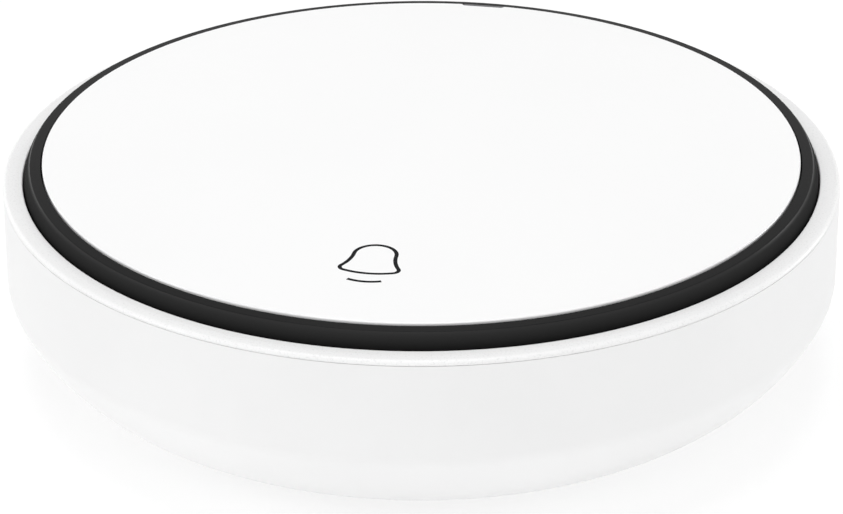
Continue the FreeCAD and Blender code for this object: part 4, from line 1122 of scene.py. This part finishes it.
class CALLBUTTON_OT_underside(Operator):
    """Build the foot ring, the battery door and the screws"""
    bl_idname = "call_button.underside"
    bl_label = "Build the Underside"

    def execute(self, context):
        settings = context.scene.call_button_underside
        add_piece("soft_foot", foot_ring(settings), "housing", "foot_rubber", "foot_ring")
        add_piece("door_cover", door_cover(settings), "door", "door_white", "battery_door")
        add_piece("pan_screws", case_screws(settings), "housing", "screw_steel", "case_screws")
        return {"FINISHED"}


class CALLBUTTON_OT_springs(Operator):
    """Build the springs and the snap dome, each with a mesh of its own, at rest"""
    bl_idname = "call_button.springs"
    bl_label = "Build the Springs"

    def execute(self, context):
        settings = context.scene.call_button_press
        pieces = (
            ("coil_springs", coil_springs, "spring_steel", "return_springs", "cap_press"),
            ("snap_dome", snap_dome, "sheet_steel", "switch_dome", "stem_press"),
        )
        for name, shape, slot, node, joint in pieces:
            piece = add_piece(name, shape(settings), "housing", slot, node)
            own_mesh(piece)
        return {"FINISHED"}


class CALLBUTTON_OT_finishes(Operator):
    """Make every slot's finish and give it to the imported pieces"""
    bl_idname = "call_button.finishes"
    bl_label = "Make the Finishes"

    def execute(self, context):
        settings = context.scene.call_button_finish
        for material in bpy.data.materials:
            material.name = "packed_" + material.name
        made = {slot: finish_of(slot, settings).material for slot in SLOT_COLOURS}
        for part in frame["record"]["subparts"]:
            frame["nodes"][part["node"]].data.materials[0] = made[part["material_slot"]]
        return {"FINISHED"}


class CALLBUTTON_OT_stage(Operator):
    """Make the floor, the light and the camera"""
    bl_idname = "call_button.stage"
    bl_label = "Build the Studio"

    def execute(self, context):
        settings = context.scene.call_button_stage
        make_floor(settings)
        light_room(settings)
        hang_softboxes(settings)
        place_camera(settings)
        context.scene.view_settings.view_transform = "Standard"
        return {"FINISHED"}


class CALLBUTTON_PT_panel(Panel):
    """Lists the steps that build the call button's looks"""
    bl_label = "Call Button"
    bl_idname = "CALLBUTTON_PT_panel"
    bl_space_type = "VIEW_3D"
    bl_region_type = "UI"
    bl_category = "Call Button"

    def draw(self, context):
        layout = self.layout
        for operator in OPERATORS:
            layout.operator(operator.bl_idname)
        for name in SETTINGS:
            group = getattr(context.scene, name)
            box = layout.box()
            for item in group.__annotations__:
                box.prop(group, item)


OPERATORS = (
    CALLBUTTON_OT_finishes,
    CALLBUTTON_OT_housing,
    CALLBUTTON_OT_face_plate,
    CALLBUTTON_OT_underside,
    CALLBUTTON_OT_springs,
    CALLBUTTON_OT_stage,
)
SETTINGS = {
    "call_button_housing": HousingSettings,
    "call_button_bezel": BezelSettings,
    "call_button_plate": PlateSettings,
    "call_button_window": WindowSettings,
    "call_button_underside": UndersideSettings,
    "call_button_press": PressSettings,
    "call_button_finish": FinishSettings,
    "call_button_stage": StageSettings,
}


CLASSES = (*SETTINGS.values(), *OPERATORS, CALLBUTTON_PT_panel)


def register():
    for item in CLASSES:
        bpy.utils.register_class(item)
    for name, group in SETTINGS.items():
        setattr(bpy.types.Scene, name, PointerProperty(type=group))


def unregister():
    for name in SETTINGS:
        delattr(bpy.types.Scene, name)
    for item in reversed(CLASSES):
        bpy.utils.unregister_class(item)


def main():
    register()
    bpy.ops.call_button.finishes()
    bpy.ops.call_button.housing()
    bpy.ops.call_button.face_plate()
    bpy.ops.call_button.underside()
    bpy.ops.call_button.springs()
    bpy.ops.call_button.stage()


if __name__ == "__main__":
    main()
